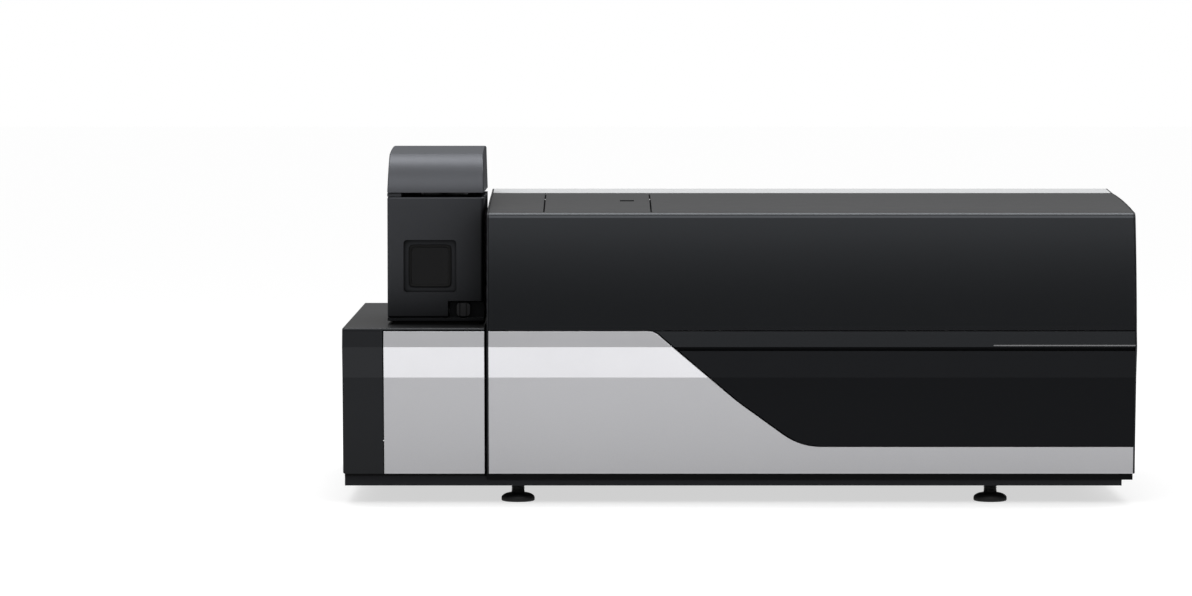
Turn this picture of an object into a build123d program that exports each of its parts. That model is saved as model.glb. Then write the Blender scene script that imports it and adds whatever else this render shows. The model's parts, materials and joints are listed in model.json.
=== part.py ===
from build123d import *
import math
import os

# A benchtop triple-quadrupole mass spectrometer: a long main body on four levelling
# feet, and at its left end a lower source section that carries the ion source tower.
# Millimetres. X runs to the right, Y to the back, Z up. The origin is on the bench,
# under the middle of the whole instrument.

# ---- overall ----
OVERALL_WIDTH = 1180.0
BODY_DEPTH = 645.0
REAR_FITTING_REACH = 15.0
OVERALL_DEPTH = BODY_DEPTH + REAR_FITTING_REACH
LEFT_X = -OVERALL_WIDTH / 2
RIGHT_X = OVERALL_WIDTH / 2
FRONT_Y = -OVERALL_DEPTH / 2

# ---- side outline of the main body: distances behind the front crest, and heights ----
PANEL_BOTTOM = 45.5
LOWER_SET_BACK = 20.0
CREASE_RISE = 144.5
CREASE_HEIGHT = PANEL_BOTTOM + CREASE_RISE
CREASE_SET_BACK = 8.5
CREST_RISE = 46.0
CREST_HEIGHT = CREASE_HEIGHT + CREST_RISE
BELT_WIDTH = 23.0
BELT_TOP = CREST_HEIGHT + BELT_WIDTH
BELT_SET_BACK = 4.5
SHOULDER_RISE = 167.5
SHOULDER_HEIGHT = BELT_TOP + SHOULDER_RISE
SHOULDER_SET_BACK = 30.0
UPPER_BOW = 4.0
SHOULDER_ARC_DEPTH = 8.8
SHOULDER_ARC_RISE = 8.0
ROOF_FRONT_SET_BACK = SHOULDER_SET_BACK + SHOULDER_ARC_DEPTH
ROOF_FRONT_HEIGHT = SHOULDER_HEIGHT + SHOULDER_ARC_RISE
ROOF_CROWN_SET_BACK = 180.0
ROOF_CROWN_RISE = 12.2
ROOF_CROWN_HEIGHT = ROOF_FRONT_HEIGHT + ROOF_CROWN_RISE
ROOF_SEAM_SET_BACK = 320.0
ROOF_SEAM_RISE = 19.1
ROOF_SEAM_HEIGHT = ROOF_FRONT_HEIGHT + ROOF_SEAM_RISE
ROOF_CREST_SET_BACK = 393.0
ROOF_CREST_RISE = 23.7
ROOF_CREST_HEIGHT = ROOF_FRONT_HEIGHT + ROOF_CREST_RISE
REAR_FALL = 18.2
REAR_HEIGHT = ROOF_CREST_HEIGHT - REAR_FALL

# ---- sheet, seams and clearances ----
SKIN = 3.0
SEAM = 1.5
SHEET = 2.0
RUNNING_CLEARANCE = 0.05
FREE_CLEARANCE = 1.0

# ---- across the front ----
SOURCE_WIDTH = 211.0
SECTION_GAP = 3.5
SOURCE_END_WIDTH = 60.0
SOURCE_RIGHT = LEFT_X + SOURCE_WIDTH
MAIN_LEFT = SOURCE_RIGHT + SECTION_GAP
SIDE_COVER_THICKNESS = 2.5
END_COVER_ROUNDING = 1.2
PANEL_EDGE = 0.8
SKIN_LEFT = MAIN_LEFT + SIDE_COVER_THICKNESS
SKIN_RIGHT = RIGHT_X - SIDE_COVER_THICKNESS

# ---- silver sweep on the main front ----
RAIL_HEIGHT = 40.0
RAIL_TOP = PANEL_BOTTOM + RAIL_HEIGHT
SWEEP_TOP_LENGTH = 246.0
SWEEP_START = SKIN_LEFT + SWEEP_TOP_LENGTH
SWEEP_MIDDLE_RUN = 124.0
SWEEP_MIDDLE = SWEEP_START + SWEEP_MIDDLE_RUN
SWEEP_MIDDLE_RISE = 68.0
SWEEP_MIDDLE_HEIGHT = RAIL_TOP + SWEEP_MIDDLE_RISE
SWEEP_END_RUN = 94.0
SWEEP_END = SWEEP_MIDDLE + SWEEP_END_RUN
SWEEP_TOP_RADIUS = 24.0
SWEEP_MIDDLE_RADIUS = 320.0
SWEEP_END_RADIUS = 95.0
GROOVE_HEIGHT = 6.0
GROOVE_DEPTH = 8.0
TRIM_LENGTH = 210.5
TRIM_START = SKIN_RIGHT - TRIM_LENGTH
TRIM_HEIGHT = 1.6
TRIM_SET_BACK = 0.15

# ---- roof pieces ----
HATCH_FROM_LEFT = 83.0
HATCH_LEFT = SKIN_LEFT + HATCH_FROM_LEFT
HATCH_WIDTH = 158.5
HATCH_PULL_WIDTH = 21.0
HATCH_PULL_LENGTH = 16.0
HATCH_PULL_FROM_RIGHT = 24.0
HATCH_PULL_SET_BACK = 172.0
HATCH_PULL_DEPTH = 9.0
HATCH_PIN_RADIUS = 3.0
HATCH_PIN_FROM_SEAM = 9.0
HATCH_PIN_SET_BACK = ROOF_SEAM_SET_BACK - HATCH_PIN_FROM_SEAM
HATCH_PIN_DROP = 7.5
HATCH_KNUCKLE_RADIUS = 5.5
HATCH_KNUCKLE_LENGTH = 26.0
HATCH_EAR_WIDTH = 12.0

# ---- base ----
PLINTH_HEIGHT = 10.2
PLINTH_BOTTOM = PANEL_BOTTOM - PLINTH_HEIGHT
SOURCE_PLINTH_HEIGHT = 4.5
SOURCE_PLINTH_BOTTOM = PANEL_BOTTOM - SOURCE_PLINTH_HEIGHT
PAN_HEIGHT = 8.8
PAN_BOTTOM = PLINTH_BOTTOM - PAN_HEIGHT
PLINTH_SET_BACK = 10.0
PLINTH_WALL = 18.0
PAN_SET_BACK = 32.0
PAN_END_INSET = 18.0
SHEET_PAN = 3.0

# ---- levelling feet ----
FOOT_PAD_RADIUS = 25.0
FOOT_PAD_HEIGHT = 13.0
FOOT_PAD_RIM = 6.0
FOOT_STEM_RADIUS = 10.0
FOOT_STEM_TOP = 60.0
FOOT_LEFT_INSET = 43.0
FOOT_LEFT_X = SKIN_LEFT + FOOT_LEFT_INSET
FOOT_RIGHT_INSET = 208.5
FOOT_RIGHT_X = SKIN_RIGHT - FOOT_RIGHT_INSET
FOOT_FRONT_SET_BACK = 70.0
FOOT_REAR_INSET = 60.0
FOOT_REAR_SET_BACK = BODY_DEPTH - FOOT_REAR_INSET
FOOT_BOSS_RADIUS = 19.0
LOCKNUT_HEIGHT = 10.0
LOCKNUT_FLATS = 30.0

# ---- source tower ----
DECK_RISE = 5.0
DECK_EDGE_RADIUS = 3.4
DECK_HEIGHT = BELT_TOP + DECK_RISE
TOWER_SIDE_GAP = 2.5
TOWER_WIDTH = 145.0
TOWER_SET_BACK = 90.0
TOWER_DEPTH = 250.0
TOWER_WALL = 4.0
TOWER_FOOT_HEIGHT = 5.0
TOWER_HEIGHT = 187.0
TOWER_EDGE_RADIUS = 5.0
TOWER_RIGHT = SOURCE_RIGHT - TOWER_SIDE_GAP
TOWER_LEFT = TOWER_RIGHT - TOWER_WIDTH
TOWER_BOTTOM = DECK_HEIGHT + TOWER_FOOT_HEIGHT
TOWER_TOP = TOWER_BOTTOM + TOWER_HEIGHT
SILL_THICKNESS = 5.0

# ---- source door ----
DOOR_THICKNESS = 24.0
DOOR_SKIN = 4.0
DOOR_BACK_GAP = 3.0
DOOR_PIN_RADIUS = 3.0
DOOR_PIN_INSET = 8.0
DOOR_PIN_LENGTH = 16.0
DOOR_EAR_WIDTH = 21.0
DOOR_EAR_THICKNESS = 5.0
DOOR_BOSS_RADIUS = 7.0
WINDOW_SIZE = 79.0
WINDOW_RIGHT_INSET = 41.5
WINDOW_RISE = 43.0
WINDOW_BOTTOM = TOWER_BOTTOM + WINDOW_RISE
WINDOW_RECESS = 7.0
WINDOW_CORNER = 5.0
PANE_SIZE = 56.0
DOOR_RIM_RADIUS = 2.5
NOTCH_WIDTH = 54.0
NOTCH_HEIGHT = 30.0
NOTCH_TOP = TOWER_BOTTOM + NOTCH_HEIGHT
LATCH_BLOCK_SET_BACK = 13.0
LATCH_KNOB_WIDTH = 20.0
LATCH_KNOB_CORNER = 5.0
LATCH_KNOB_THICKNESS = 10.0
LATCH_SHAFT_RADIUS = 4.0
LATCH_X_FROM_RIGHT = 31.0
LATCH_RISE = 17.2
LATCH_Z = TOWER_BOTTOM + LATCH_RISE
LATCH_CAM_LENGTH = 17.0
LATCH_CAM_WIDTH = 8.0
LATCH_CAM_THICKNESS = 3.0

# ---- probe cover ----
CAP_GAP = 6.0
CAP_HEIGHT = 66.0
CAP_BOTTOM = TOWER_TOP + CAP_GAP
CAP_TOP = CAP_BOTTOM + CAP_HEIGHT
CAP_LEAN = 44.0
CAP_BOW = 8.0
CAP_CORNER_DROP = 8.5
CAP_CORNER_RADIUS = 3.5
CAP_CROWN_SHARE = 0.7
CAP_REAR_FALL = 2.0
CAP_EDGE_RADIUS = 2.0
CAP_TAPER = 2.0
CAP_WALL = 4.0
CAP_PIN_RADIUS = 3.0
CAP_PIN_INSET = 11.0
CAP_PIN_RISE = 15.0
CAP_LUG_THICKNESS = 8.0
CAP_LUG_INSET = 10.0
CAP_KNUCKLE_RADIUS = 7.0
CAP_KNUCKLE_LENGTH = 18.0

# ---- ion source ----
ION_AXIS_BEHIND_DOOR = 125.0
ION_AXIS_SET_BACK = TOWER_SET_BACK + ION_AXIS_BEHIND_DOOR
ION_AXIS_RISE = 58.0
ION_AXIS_HEIGHT = DECK_HEIGHT + ION_AXIS_RISE
CHAMBER_WALL = 9.0
CHAMBER_SIDE_GAP = 7.0
CHAMBER_RISE = 8.0
CHAMBER_BOTTOM = TOWER_BOTTOM + CHAMBER_RISE
CHAMBER_TOP_GAP = 19.0
CHAMBER_TOP = TOWER_TOP - CHAMBER_TOP_GAP
CHAMBER_BACK_GAP = 40.0
CHAMBER_BACK_SET_BACK = TOWER_SET_BACK + TOWER_DEPTH - CHAMBER_BACK_GAP
CHAMBER_CORNER = 8.0
PROBE_X_FROM_RIGHT = 62.0
PROBE_BORE_RADIUS = 14.0
PROBE_BODY_RADIUS = 13.9
PROBE_FLANGE_RADIUS = 26.0
PROBE_FLANGE_HEIGHT = 8.0
PROBE_NECK_RADIUS = 9.0
PROBE_CAPILLARY_RADIUS = 1.5
PROBE_TIP_RISE = 23.0
PROBE_TIP_HEIGHT = ION_AXIS_HEIGHT + PROBE_TIP_RISE
PROBE_REACH = 42.0
PROBE_TOP = TOWER_TOP + PROBE_REACH
PROBE_UNION_RADIUS = 6.0
STAGE_EDGE_RADIUS = 6.0
STAGE_KNOB_FLUTES = 10
STAGE_KNOB_FLUTE_RADIUS = 1.5
PROBE_UNION_HEIGHT = 10.0
PROBE_NOSE_LENGTH = 24.0
GASKET_INSET = 7.0
SOURCE_FRAME_INSET = 30.0
FRAME_WALL = 4.0
FRAME_BAR = 16.0
FRAME_ABOVE_LID = 14.0
FRAME_RAIL_RISE = 40.0
FRAME_FRONT = 62.0
FRAME_BACK_GAP = 45.0
FRAME_BACK = BODY_DEPTH - FRAME_BACK_GAP
LEG_INSET = 40.0
LEG_RADIUS = 11.0
LID_POCKETS = 4
LID_RIB = 14.0
STAGE_WIDTH = 70.0
STAGE_LENGTH = 74.0
STAGE_HEIGHT = 18.0
STAGE_KNOB_RADIUS = 9.0
STAGE_KNOB_LENGTH = 16.0
STAGE_SHAFT_RADIUS = 3.0
STAGE_SHAFT_ENGAGED = 12.0
CONE_BASE_RADIUS = 22.0
CONE_TIP_RADIUS = 3.0
CONE_LENGTH = 24.0
CONE_BORE_RADIUS = 0.6
LINE_RADIUS = 7.0
LINE_BORE_RADIUS = 0.6
LINE_HOLE_CLEARANCE = 1.5

# ---- vacuum system and analyser ----
MANIFOLD_LEFT_GAP = 28.0
MANIFOLD_RIGHT_GAP = 42.5
MANIFOLD_LEFT = SKIN_LEFT + MANIFOLD_LEFT_GAP
MANIFOLD_RIGHT = SKIN_RIGHT - MANIFOLD_RIGHT_GAP
MANIFOLD_HALF_DEPTH = 95.0
MANIFOLD_BELOW_AXIS = 70.0
MANIFOLD_ABOVE_AXIS = 62.0
MANIFOLD_WALL = 14.0
MANIFOLD_PARTITION = 8.0
LID_THICKNESS = 14.0
FRAME_TOP = ION_AXIS_HEIGHT + MANIFOLD_ABOVE_AXIS + LID_THICKNESS + FRAME_ABOVE_LID
LID_OVERHANG = 4.0
SEAL_WIDTH = 4.0
SEAL_HEIGHT = 3.0
SEAL_INSET = 4.0
ENTRY_LENGTH = 45.0
GUIDE_LENGTH = 90.0
GUIDE_GAP = 35.0
CELL_ENTRY_GAP = 40.0
CELL_LENGTH = 150.0
CELL_EXIT_GAP = 30.0
DETECTOR_GAP = 25.0
DETECTOR_LENGTH = 46.0
END_LENGTH = 29.0
GUIDE_LEFT = MANIFOLD_LEFT + ENTRY_LENGTH
FIRST_QUAD_LEFT = GUIDE_LEFT + GUIDE_LENGTH + GUIDE_GAP
DETECTOR_LEFT = MANIFOLD_RIGHT - END_LENGTH - DETECTOR_LENGTH
CELL_STAGE_LENGTH = CELL_ENTRY_GAP + CELL_LENGTH + CELL_EXIT_GAP
QUAD_LENGTH = (DETECTOR_LEFT - DETECTOR_GAP - CELL_STAGE_LENGTH - FIRST_QUAD_LEFT) / 2
CELL_LEFT = FIRST_QUAD_LEFT + QUAD_LENGTH + CELL_ENTRY_GAP
SECOND_QUAD_LEFT = CELL_LEFT + CELL_LENGTH + CELL_EXIT_GAP
QUAD_ROD_RADIUS = 9.0
QUAD_FIELD_RADIUS = 8.0
GUIDE_ROD_RADIUS = 3.0
GUIDE_FIELD_RADIUS = 9.0
HOLDER_RADIUS = 38.0
HOLDER_THICKNESS = 12.0
LENS_RADIUS = 34.0
LENS_THICKNESS = 2.0
LENS_HOLE_RADIUS = 2.0
DETECTOR_RADIUS = 24.0
PUMP_FROM_LEFT = 275.0
PUMP_X = MANIFOLD_LEFT + PUMP_FROM_LEFT
PUMP_RADIUS = 78.0
PUMP_FLANGE_RADIUS = 92.0
PUMP_FLANGE_HEIGHT = 14.0
PUMP_HEIGHT = 150.0
PUMP_FIN_DEPTH = 6.0
PUMP_FIN_PITCH = 16.0
PUMP_PORT_RADIUS = 16.0

# ---- electronics ----
BOX_DEPTH = 190.0
BOX_BACK_GAP = 55.0
BOX_BACK = BODY_DEPTH - BOX_BACK_GAP
BOX_FRONT = BOX_BACK - BOX_DEPTH
RF_FROM_LEFT = 73.0
RF_LEFT = SKIN_LEFT + RF_FROM_LEFT
RF_WIDTH = 250.0
RF_HEIGHT = 170.0
SUPPLY_FROM_FOOT = 269.0
SUPPLY_LEFT = FOOT_RIGHT_X - SUPPLY_FROM_FOOT
SUPPLY_WIDTH = 230.0
SUPPLY_HEIGHT = 110.0
BOX_FIN_PITCH = 18.0
BOX_FIN_DEPTH = 6.0
BOX_FIN_WIDTH = 9.0

# ---- rear panel and its fittings ----
REAR_PANEL_DROP = 8.0
REAR_PANEL_TOP = REAR_HEIGHT - REAR_PANEL_DROP
FAN_SIZE = 120.0
FAN_DEPTH = 25.0
FAN_BORE_RADIUS = 56.0
FAN_HUB_RADIUS = 21.0
FAN_BLADES = 7
FAN_BLADE_THICKNESS = 2.0
FAN_BLADE_END_GAP = 2.0
FAN_BLADE_PITCH = 35.0
FAN_BLADE_CHORD = 24.0
FAN_TIP_GAP = 3.0
FAN_AXLE_RADIUS = 3.0
FAN_FROM_RF = 95.0
FAN_LEFT_X = RF_LEFT + FAN_FROM_RF
FAN_FROM_SUPPLY = 135.0
FAN_RIGHT_X = SUPPLY_LEFT + FAN_FROM_SUPPLY
FAN_DROP = 95.0
FAN_HEIGHT = REAR_HEIGHT - FAN_DROP
SLOT_WIDTH = 4.0
SLOT_PITCH = 9.0
GRILLE_RADIUS = 54.0
PORT_FROM_PUMP = 20.0
PORT_X = PUMP_X - PORT_FROM_PUMP
PORT_SPACING = 80.0
PORT_HEIGHT = 130.0
PORT_BORE_RADIUS = 13.0
PORT_TUBE_RADIUS = 14.5
PORT_FLANGE_RADIUS = 20.0
PORT_FLANGE_THICKNESS = 4.0
PORT_LENGTH = 40.0
GAS_FROM_PORT = 160.0
GAS_X = PORT_X - GAS_FROM_PORT
GAS_SPACING = 32.0
GAS_HEIGHT = 150.0
GAS_BODY_RADIUS = 7.0
GAS_BORE_RADIUS = 3.0
GAS_BORE_LENGTH = 14.0
GAS_LENGTH = 26.0
INLET_FROM_RIGHT = 120.0
INLET_X = RIGHT_X - INLET_FROM_RIGHT
INLET_WIDTH = 50.0
INLET_HEIGHT = 30.0
INLET_Z = 110.0
INLET_DEPTH = 28.0
INLET_POCKET_DEPTH = 16.0
INLET_POCKET_WALL = 5.0
SWITCH_FROM_INLET = 70.0
SWITCH_X = INLET_X - SWITCH_FROM_INLET
SWITCH_WIDTH = 28.0
SWITCH_HEIGHT = 40.0
SWITCH_FRAME_WALL = 4.0
SWITCH_END_GAP = 3.0
SWITCH_DEPTH = 18.0
SWITCH_TILT = 10.0
SWITCH_PIN_RADIUS = 2.0
DATA_FROM_SWITCH = 70.0
DATA_X = SWITCH_X - DATA_FROM_SWITCH
DATA_WIDTH = 22.0
DATA_HEIGHT = 16.0
DATA_DEPTH = 20.0
SCREW_HEAD_RADIUS = 4.5
SCREW_HEAD_HEIGHT = 2.5
SCREW_INSET = 14.0
SCREWS_PER_ROW = 5


def depth(set_back):
    """Y of a plane a given distance behind the front crest."""
    return FRONT_Y + set_back


def block(x_span, y_span, z_span):
    """A box between two X, two Y and two Z planes."""
    size = [span[1] - span[0] for span in (x_span, y_span, z_span)]
    corner = Pos(x_span[0], y_span[0], z_span[0])
    return corner * Box(*size, align=(Align.MIN, Align.MIN, Align.MIN))


def rod_x(radius, x_span, y, z):
    """A cylinder along X."""
    stand = Cylinder(radius, x_span[1] - x_span[0], align=(Align.CENTER, Align.CENTER, Align.MIN))
    return Pos(x_span[0], y, z) * Rot(0, 90, 0) * stand


def rod_y(radius, y_span, x, z):
    """A cylinder along Y."""
    stand = Cylinder(radius, y_span[1] - y_span[0], align=(Align.CENTER, Align.CENTER, Align.MIN))
    return Pos(x, y_span[0], z) * Rot(-90, 0, 0) * stand


def rod_z(radius, z_span, x, y):
    """A cylinder along Z."""
    stand = Cylinder(radius, z_span[1] - z_span[0], align=(Align.CENTER, Align.CENTER, Align.MIN))
    return Pos(x, y, z_span[0]) * stand


def bow(start, end, rise):
    """An arc from start to end whose middle stands off the chord by rise, to its left."""
    first = Vector(start)
    last = Vector(end)
    run = last - first
    left = Vector(-run.Y, run.X) / run.length
    return ThreePointArc(first, (first + last) / 2 + left * rise, last)


def lower_edges(inset):
    """Front line from the bottom of the panels over the crease and the crest to the belt's top."""
    bottom = (depth(LOWER_SET_BACK) + inset, PANEL_BOTTOM)
    crease = (depth(CREASE_SET_BACK) + inset, CREASE_HEIGHT)
    crest = (depth(0) + inset, CREST_HEIGHT)
    belt = (depth(BELT_SET_BACK) + inset, BELT_TOP)
    return [Line(bottom, crease), Line(crease, crest), Line(crest, belt)]


def body_face(inset):
    """Side outline of the main body, with every face but the bottom drawn in by inset."""
    edges = lower_edges(inset)
    shoulder = (depth(SHOULDER_SET_BACK) + inset, SHOULDER_HEIGHT)
    roof_front = (depth(ROOF_FRONT_SET_BACK), ROOF_FRONT_HEIGHT - inset)
    roof_middle = (depth(ROOF_CROWN_SET_BACK), ROOF_CROWN_HEIGHT - inset)
    roof_seam = (depth(ROOF_SEAM_SET_BACK), ROOF_SEAM_HEIGHT - inset)
    roof_crest = (depth(ROOF_CREST_SET_BACK), ROOF_CREST_HEIGHT - inset)
    rear_top = (depth(BODY_DEPTH) - inset, REAR_HEIGHT - inset)
    rear_bottom = (depth(BODY_DEPTH) - inset, PANEL_BOTTOM)
    front = bow(edges[-1] @ 1, shoulder, UPPER_BOW)
    edges += [
        front,
        TangentArc(shoulder, roof_front, tangent=front % 1),
        ThreePointArc(roof_front, roof_middle, roof_seam),
        Line(roof_seam, roof_crest),
        Line(roof_crest, rear_top),
        Line(rear_top, rear_bottom),
        Line(rear_bottom, edges[0] @ 0),
    ]
    return Plane.YZ * make_face(edges)


def source_face(inset):
    """Side outline of the source section, whose flat deck carries the tower."""
    edges = lower_edges(inset)
    deck_front = (depth(BELT_SET_BACK) + inset, DECK_HEIGHT - inset)
    deck_rear = (depth(BODY_DEPTH) - inset, DECK_HEIGHT - inset)
    rear_bottom = (depth(BODY_DEPTH) - inset, PANEL_BOTTOM)
    edges += [
        Line(edges[-1] @ 1, deck_front),
        Line(deck_front, deck_rear),
        Line(deck_rear, rear_bottom),
        Line(rear_bottom, edges[0] @ 0),
    ]
    outline = make_face(edges)
    corners = outline.vertices().group_by(Axis.Y)[-1]
    return Plane.YZ * fillet(corners, DECK_EDGE_RADIUS - inset)


def prism(face, x_span):
    """A side outline drawn out along X."""
    return Pos(x_span[0], 0, 0) * extrude(face, x_span[1] - x_span[0])


def body_skin(x_span):
    """The main body's shell between two X planes, with both end rims eased."""
    outer = prism(body_face(0), x_span)
    ends = outer.faces().filter_by(Axis.X).edges()
    return fillet(ends, PANEL_EDGE) - prism(body_face(SKIN), x_span)


def front_zone(z_span, x_span=(SKIN_LEFT, SKIN_RIGHT)):
    """The space of the front covers between two heights."""
    return block(x_span, (depth(-SKIN), depth(ROOF_FRONT_SET_BACK)), z_span)


def roof_zone(x_span, set_back_span):
    """The space of a roof cover."""
    return block(x_span, (depth(set_back_span[0]), depth(set_back_span[1])), (SHOULDER_HEIGHT, CAP_TOP))


def roof_height(set_back):
    """Height of the curved roof at a distance behind the front crest."""
    start = (ROOF_FRONT_SET_BACK, ROOF_FRONT_HEIGHT)
    crown = (ROOF_CROWN_SET_BACK, ROOF_CROWN_HEIGHT)
    seam = (ROOF_SEAM_SET_BACK, ROOF_SEAM_HEIGHT)
    arc = ThreePointArc(start, crown, seam)
    share = (set_back - start[0]) / (seam[0] - start[0])
    return (arc @ share).Y


def sweep_zone(gap):
    """Front-view area of the silver panel: a low rail, a slanting sweep and a high left end."""
    path = FilletPolyline(
        (SKIN_LEFT, BELT_TOP - gap),
        (SWEEP_START - gap, BELT_TOP - gap),
        (SWEEP_MIDDLE - gap, SWEEP_MIDDLE_HEIGHT - gap),
        (SWEEP_END - gap, RAIL_TOP - gap),
        (SKIN_RIGHT, RAIL_TOP - gap),
        radius=[SWEEP_TOP_RADIUS, SWEEP_MIDDLE_RADIUS, SWEEP_END_RADIUS],
    )
    rest = Polyline(
        (SKIN_RIGHT, RAIL_TOP - gap),
        (SKIN_RIGHT, 0),
        (SKIN_LEFT, 0),
        (SKIN_LEFT, BELT_TOP - gap),
    )
    area = Plane.XZ * make_face([path, rest])
    return Pos(0, depth(ROOF_FRONT_SET_BACK), 0) * extrude(area, ROOF_FRONT_SET_BACK + SKIN)


# ---- main body covers ----

def main_silver_panel():
    """Bright lower front panel, bent over the crease and the crest."""
    return body_skin((SKIN_LEFT, SKIN_RIGHT)) & sweep_zone(0)


def belt_strip():
    """Dark belt over the groove, from the sweep to the right end."""
    zone = front_zone((CREST_HEIGHT, BELT_TOP))
    strip = (body_skin((SKIN_LEFT, SKIN_RIGHT)) & zone) - sweep_zone(-SEAM)
    return strip - trim_bed()


def trim_bed():
    """The shallow bed that the trim strip is glued into."""
    low = CREST_HEIGHT + SEAM
    return block((TRIM_START, SKIN_RIGHT), (depth(-SKIN), depth(SKIN / 2)), (low, low + TRIM_HEIGHT))


def belt_trim():
    """Fine bright line along the right part of the belt."""
    low = CREST_HEIGHT + SEAM
    return block((TRIM_START, SKIN_RIGHT), (depth(TRIM_SET_BACK), depth(SKIN / 2)), (low, low + TRIM_HEIGHT))


def lower_front_panel():
    """Dark lower front panel under the belt, with a set-back lip that makes the groove."""
    zone = front_zone((RAIL_TOP + SEAM - SKIN, CREST_HEIGHT - GROOVE_HEIGHT))
    panel = (body_skin((SKIN_LEFT, SKIN_RIGHT)) & zone) - sweep_zone(-SEAM)
    lip_front = depth(GROOVE_DEPTH)
    shelf_low = CREST_HEIGHT - GROOVE_HEIGHT - SKIN
    lip = block((SKIN_LEFT, SKIN_RIGHT), (lip_front, lip_front + SKIN), (shelf_low, CREST_HEIGHT + SKIN))
    lip += block((SKIN_LEFT, SKIN_RIGHT), (depth(SKIN), lip_front + SKIN), (shelf_low, shelf_low + SKIN))
    return panel + (lip - sweep_zone(-SEAM))


def upper_front_cover():
    """Tall curved front cover with the rounded shoulder."""
    zone = front_zone((BELT_TOP + SEAM, CAP_TOP))
    cover = body_skin((SKIN_LEFT, SKIN_RIGHT)) & zone
    flange_top = BELT_TOP + SEAM + SKIN
    flange = block(
        (SKIN_LEFT, SKIN_RIGHT),
        (depth(BELT_SET_BACK + SKIN), depth(SHOULDER_SET_BACK)),
        (BELT_TOP + SEAM, flange_top),
    )
    return cover + flange


def roof_cover(x_span):
    """A dark roof cover between two seams."""
    zone = roof_zone(x_span, (ROOF_FRONT_SET_BACK + SEAM, ROOF_SEAM_SET_BACK - SEAM))
    return body_skin(x_span) & zone


def top_cover_left():
    return roof_cover((SKIN_LEFT, HATCH_LEFT - SEAM))


def top_cover_right():
    return roof_cover((HATCH_LEFT + HATCH_WIDTH + SEAM, SKIN_RIGHT))


def hatch_pin_height():
    """Height of the hatch's hinge axis."""
    return roof_height(HATCH_PIN_SET_BACK) - HATCH_PIN_DROP


def top_hatch():
    """Hinged hatch in the roof, with a finger recess and two knuckles below its rear edge."""
    left = HATCH_LEFT
    right = HATCH_LEFT + HATCH_WIDTH
    plate = roof_cover((left, right))
    pull_right = right - HATCH_PULL_FROM_RIGHT
    pull_left = pull_right - HATCH_PULL_WIDTH
    pull_front = HATCH_PULL_SET_BACK
    pull_back = HATCH_PULL_SET_BACK + HATCH_PULL_LENGTH
    under = roof_height(pull_front) - SKIN
    floor = under - HATCH_PULL_DEPTH
    cup = block(
        (pull_left - SHEET, pull_right + SHEET),
        (depth(pull_front - SHEET), depth(pull_back + SHEET)),
        (floor - SHEET, under + SHEET),
    )
    hollow = block((pull_left, pull_right), (depth(pull_front), depth(pull_back)), (floor, CAP_TOP))
    hatch = plate + cup - hollow
    pin_y = depth(HATCH_PIN_SET_BACK)
    pin_z = hatch_pin_height()
    for start in (left + HATCH_KNUCKLE_LENGTH, right - 2 * HATCH_KNUCKLE_LENGTH):
        span = (start, start + HATCH_KNUCKLE_LENGTH)
        knuckle = rod_x(HATCH_KNUCKLE_RADIUS, span, pin_y, pin_z)
        neck_top = roof_height(HATCH_PIN_SET_BACK) - SKIN / 2
        neck = block(span, (pin_y - HATCH_KNUCKLE_RADIUS, pin_y + SEAM), (pin_z, neck_top))
        hatch += knuckle + neck
    return hatch - rod_x(HATCH_PIN_RADIUS + RUNNING_CLEARANCE, (left, right), pin_y, pin_z)


def hatch_pin():
    """Pin of the hatch, on two ears that stand on the vacuum housing's lid."""
    pin_y = depth(HATCH_PIN_SET_BACK)
    pin_z = hatch_pin_height()
    left = HATCH_LEFT + SHEET
    right = HATCH_LEFT + HATCH_WIDTH - SHEET
    pin = rod_x(HATCH_PIN_RADIUS, (left, right), pin_y, pin_z)
    for start in (left, right - HATCH_EAR_WIDTH):
        span = (start, start + HATCH_EAR_WIDTH)
        lid_top = manifold_high() + LID_THICKNESS
        pin += block(span, (pin_y - HATCH_PIN_RADIUS, pin_y + HATCH_PIN_RADIUS), (lid_top, pin_z))
    return pin


def rear_top_cover():
    """Light roof cover that rises to the roof crest and falls to the rear."""
    x_span = (SKIN_LEFT, SKIN_RIGHT)
    cover = body_skin(x_span) & roof_zone(x_span, (ROOF_SEAM_SET_BACK + 2 * SEAM, BODY_DEPTH))
    return cover - rear_panel_zone(FREE_CLEARANCE)


def side_cover(x_span, outer_x):
    """Sheet end cover of the main body, with its outer edge rounded."""
    cover = prism(body_face(0), x_span)
    rim = cover.faces().filter_by(Axis.X).sort_by(lambda face: abs(face.center().X - outer_x))[0].edges()
    return fillet(rim, END_COVER_ROUNDING)


def right_side_cover():
    return side_cover((SKIN_RIGHT, RIGHT_X), RIGHT_X)


def left_side_cover():
    span = (MAIN_LEFT, SKIN_LEFT)
    line_hole = rod_x(LINE_RADIUS + LINE_HOLE_CLEARANCE, span, depth(ION_AXIS_SET_BACK), ION_AXIS_HEIGHT)
    return side_cover(span, MAIN_LEFT) - line_hole


# ---- rear panel and its fittings ----

def rear_panel_zone(gap):
    """The space of the rear panel, which closes the body between the end covers."""
    return block(
        (SKIN_LEFT, SKIN_RIGHT),
        (depth(BODY_DEPTH - SKIN) - gap, depth(BODY_DEPTH) + gap),
        (PANEL_BOTTOM, REAR_PANEL_TOP + gap),
    )


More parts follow.
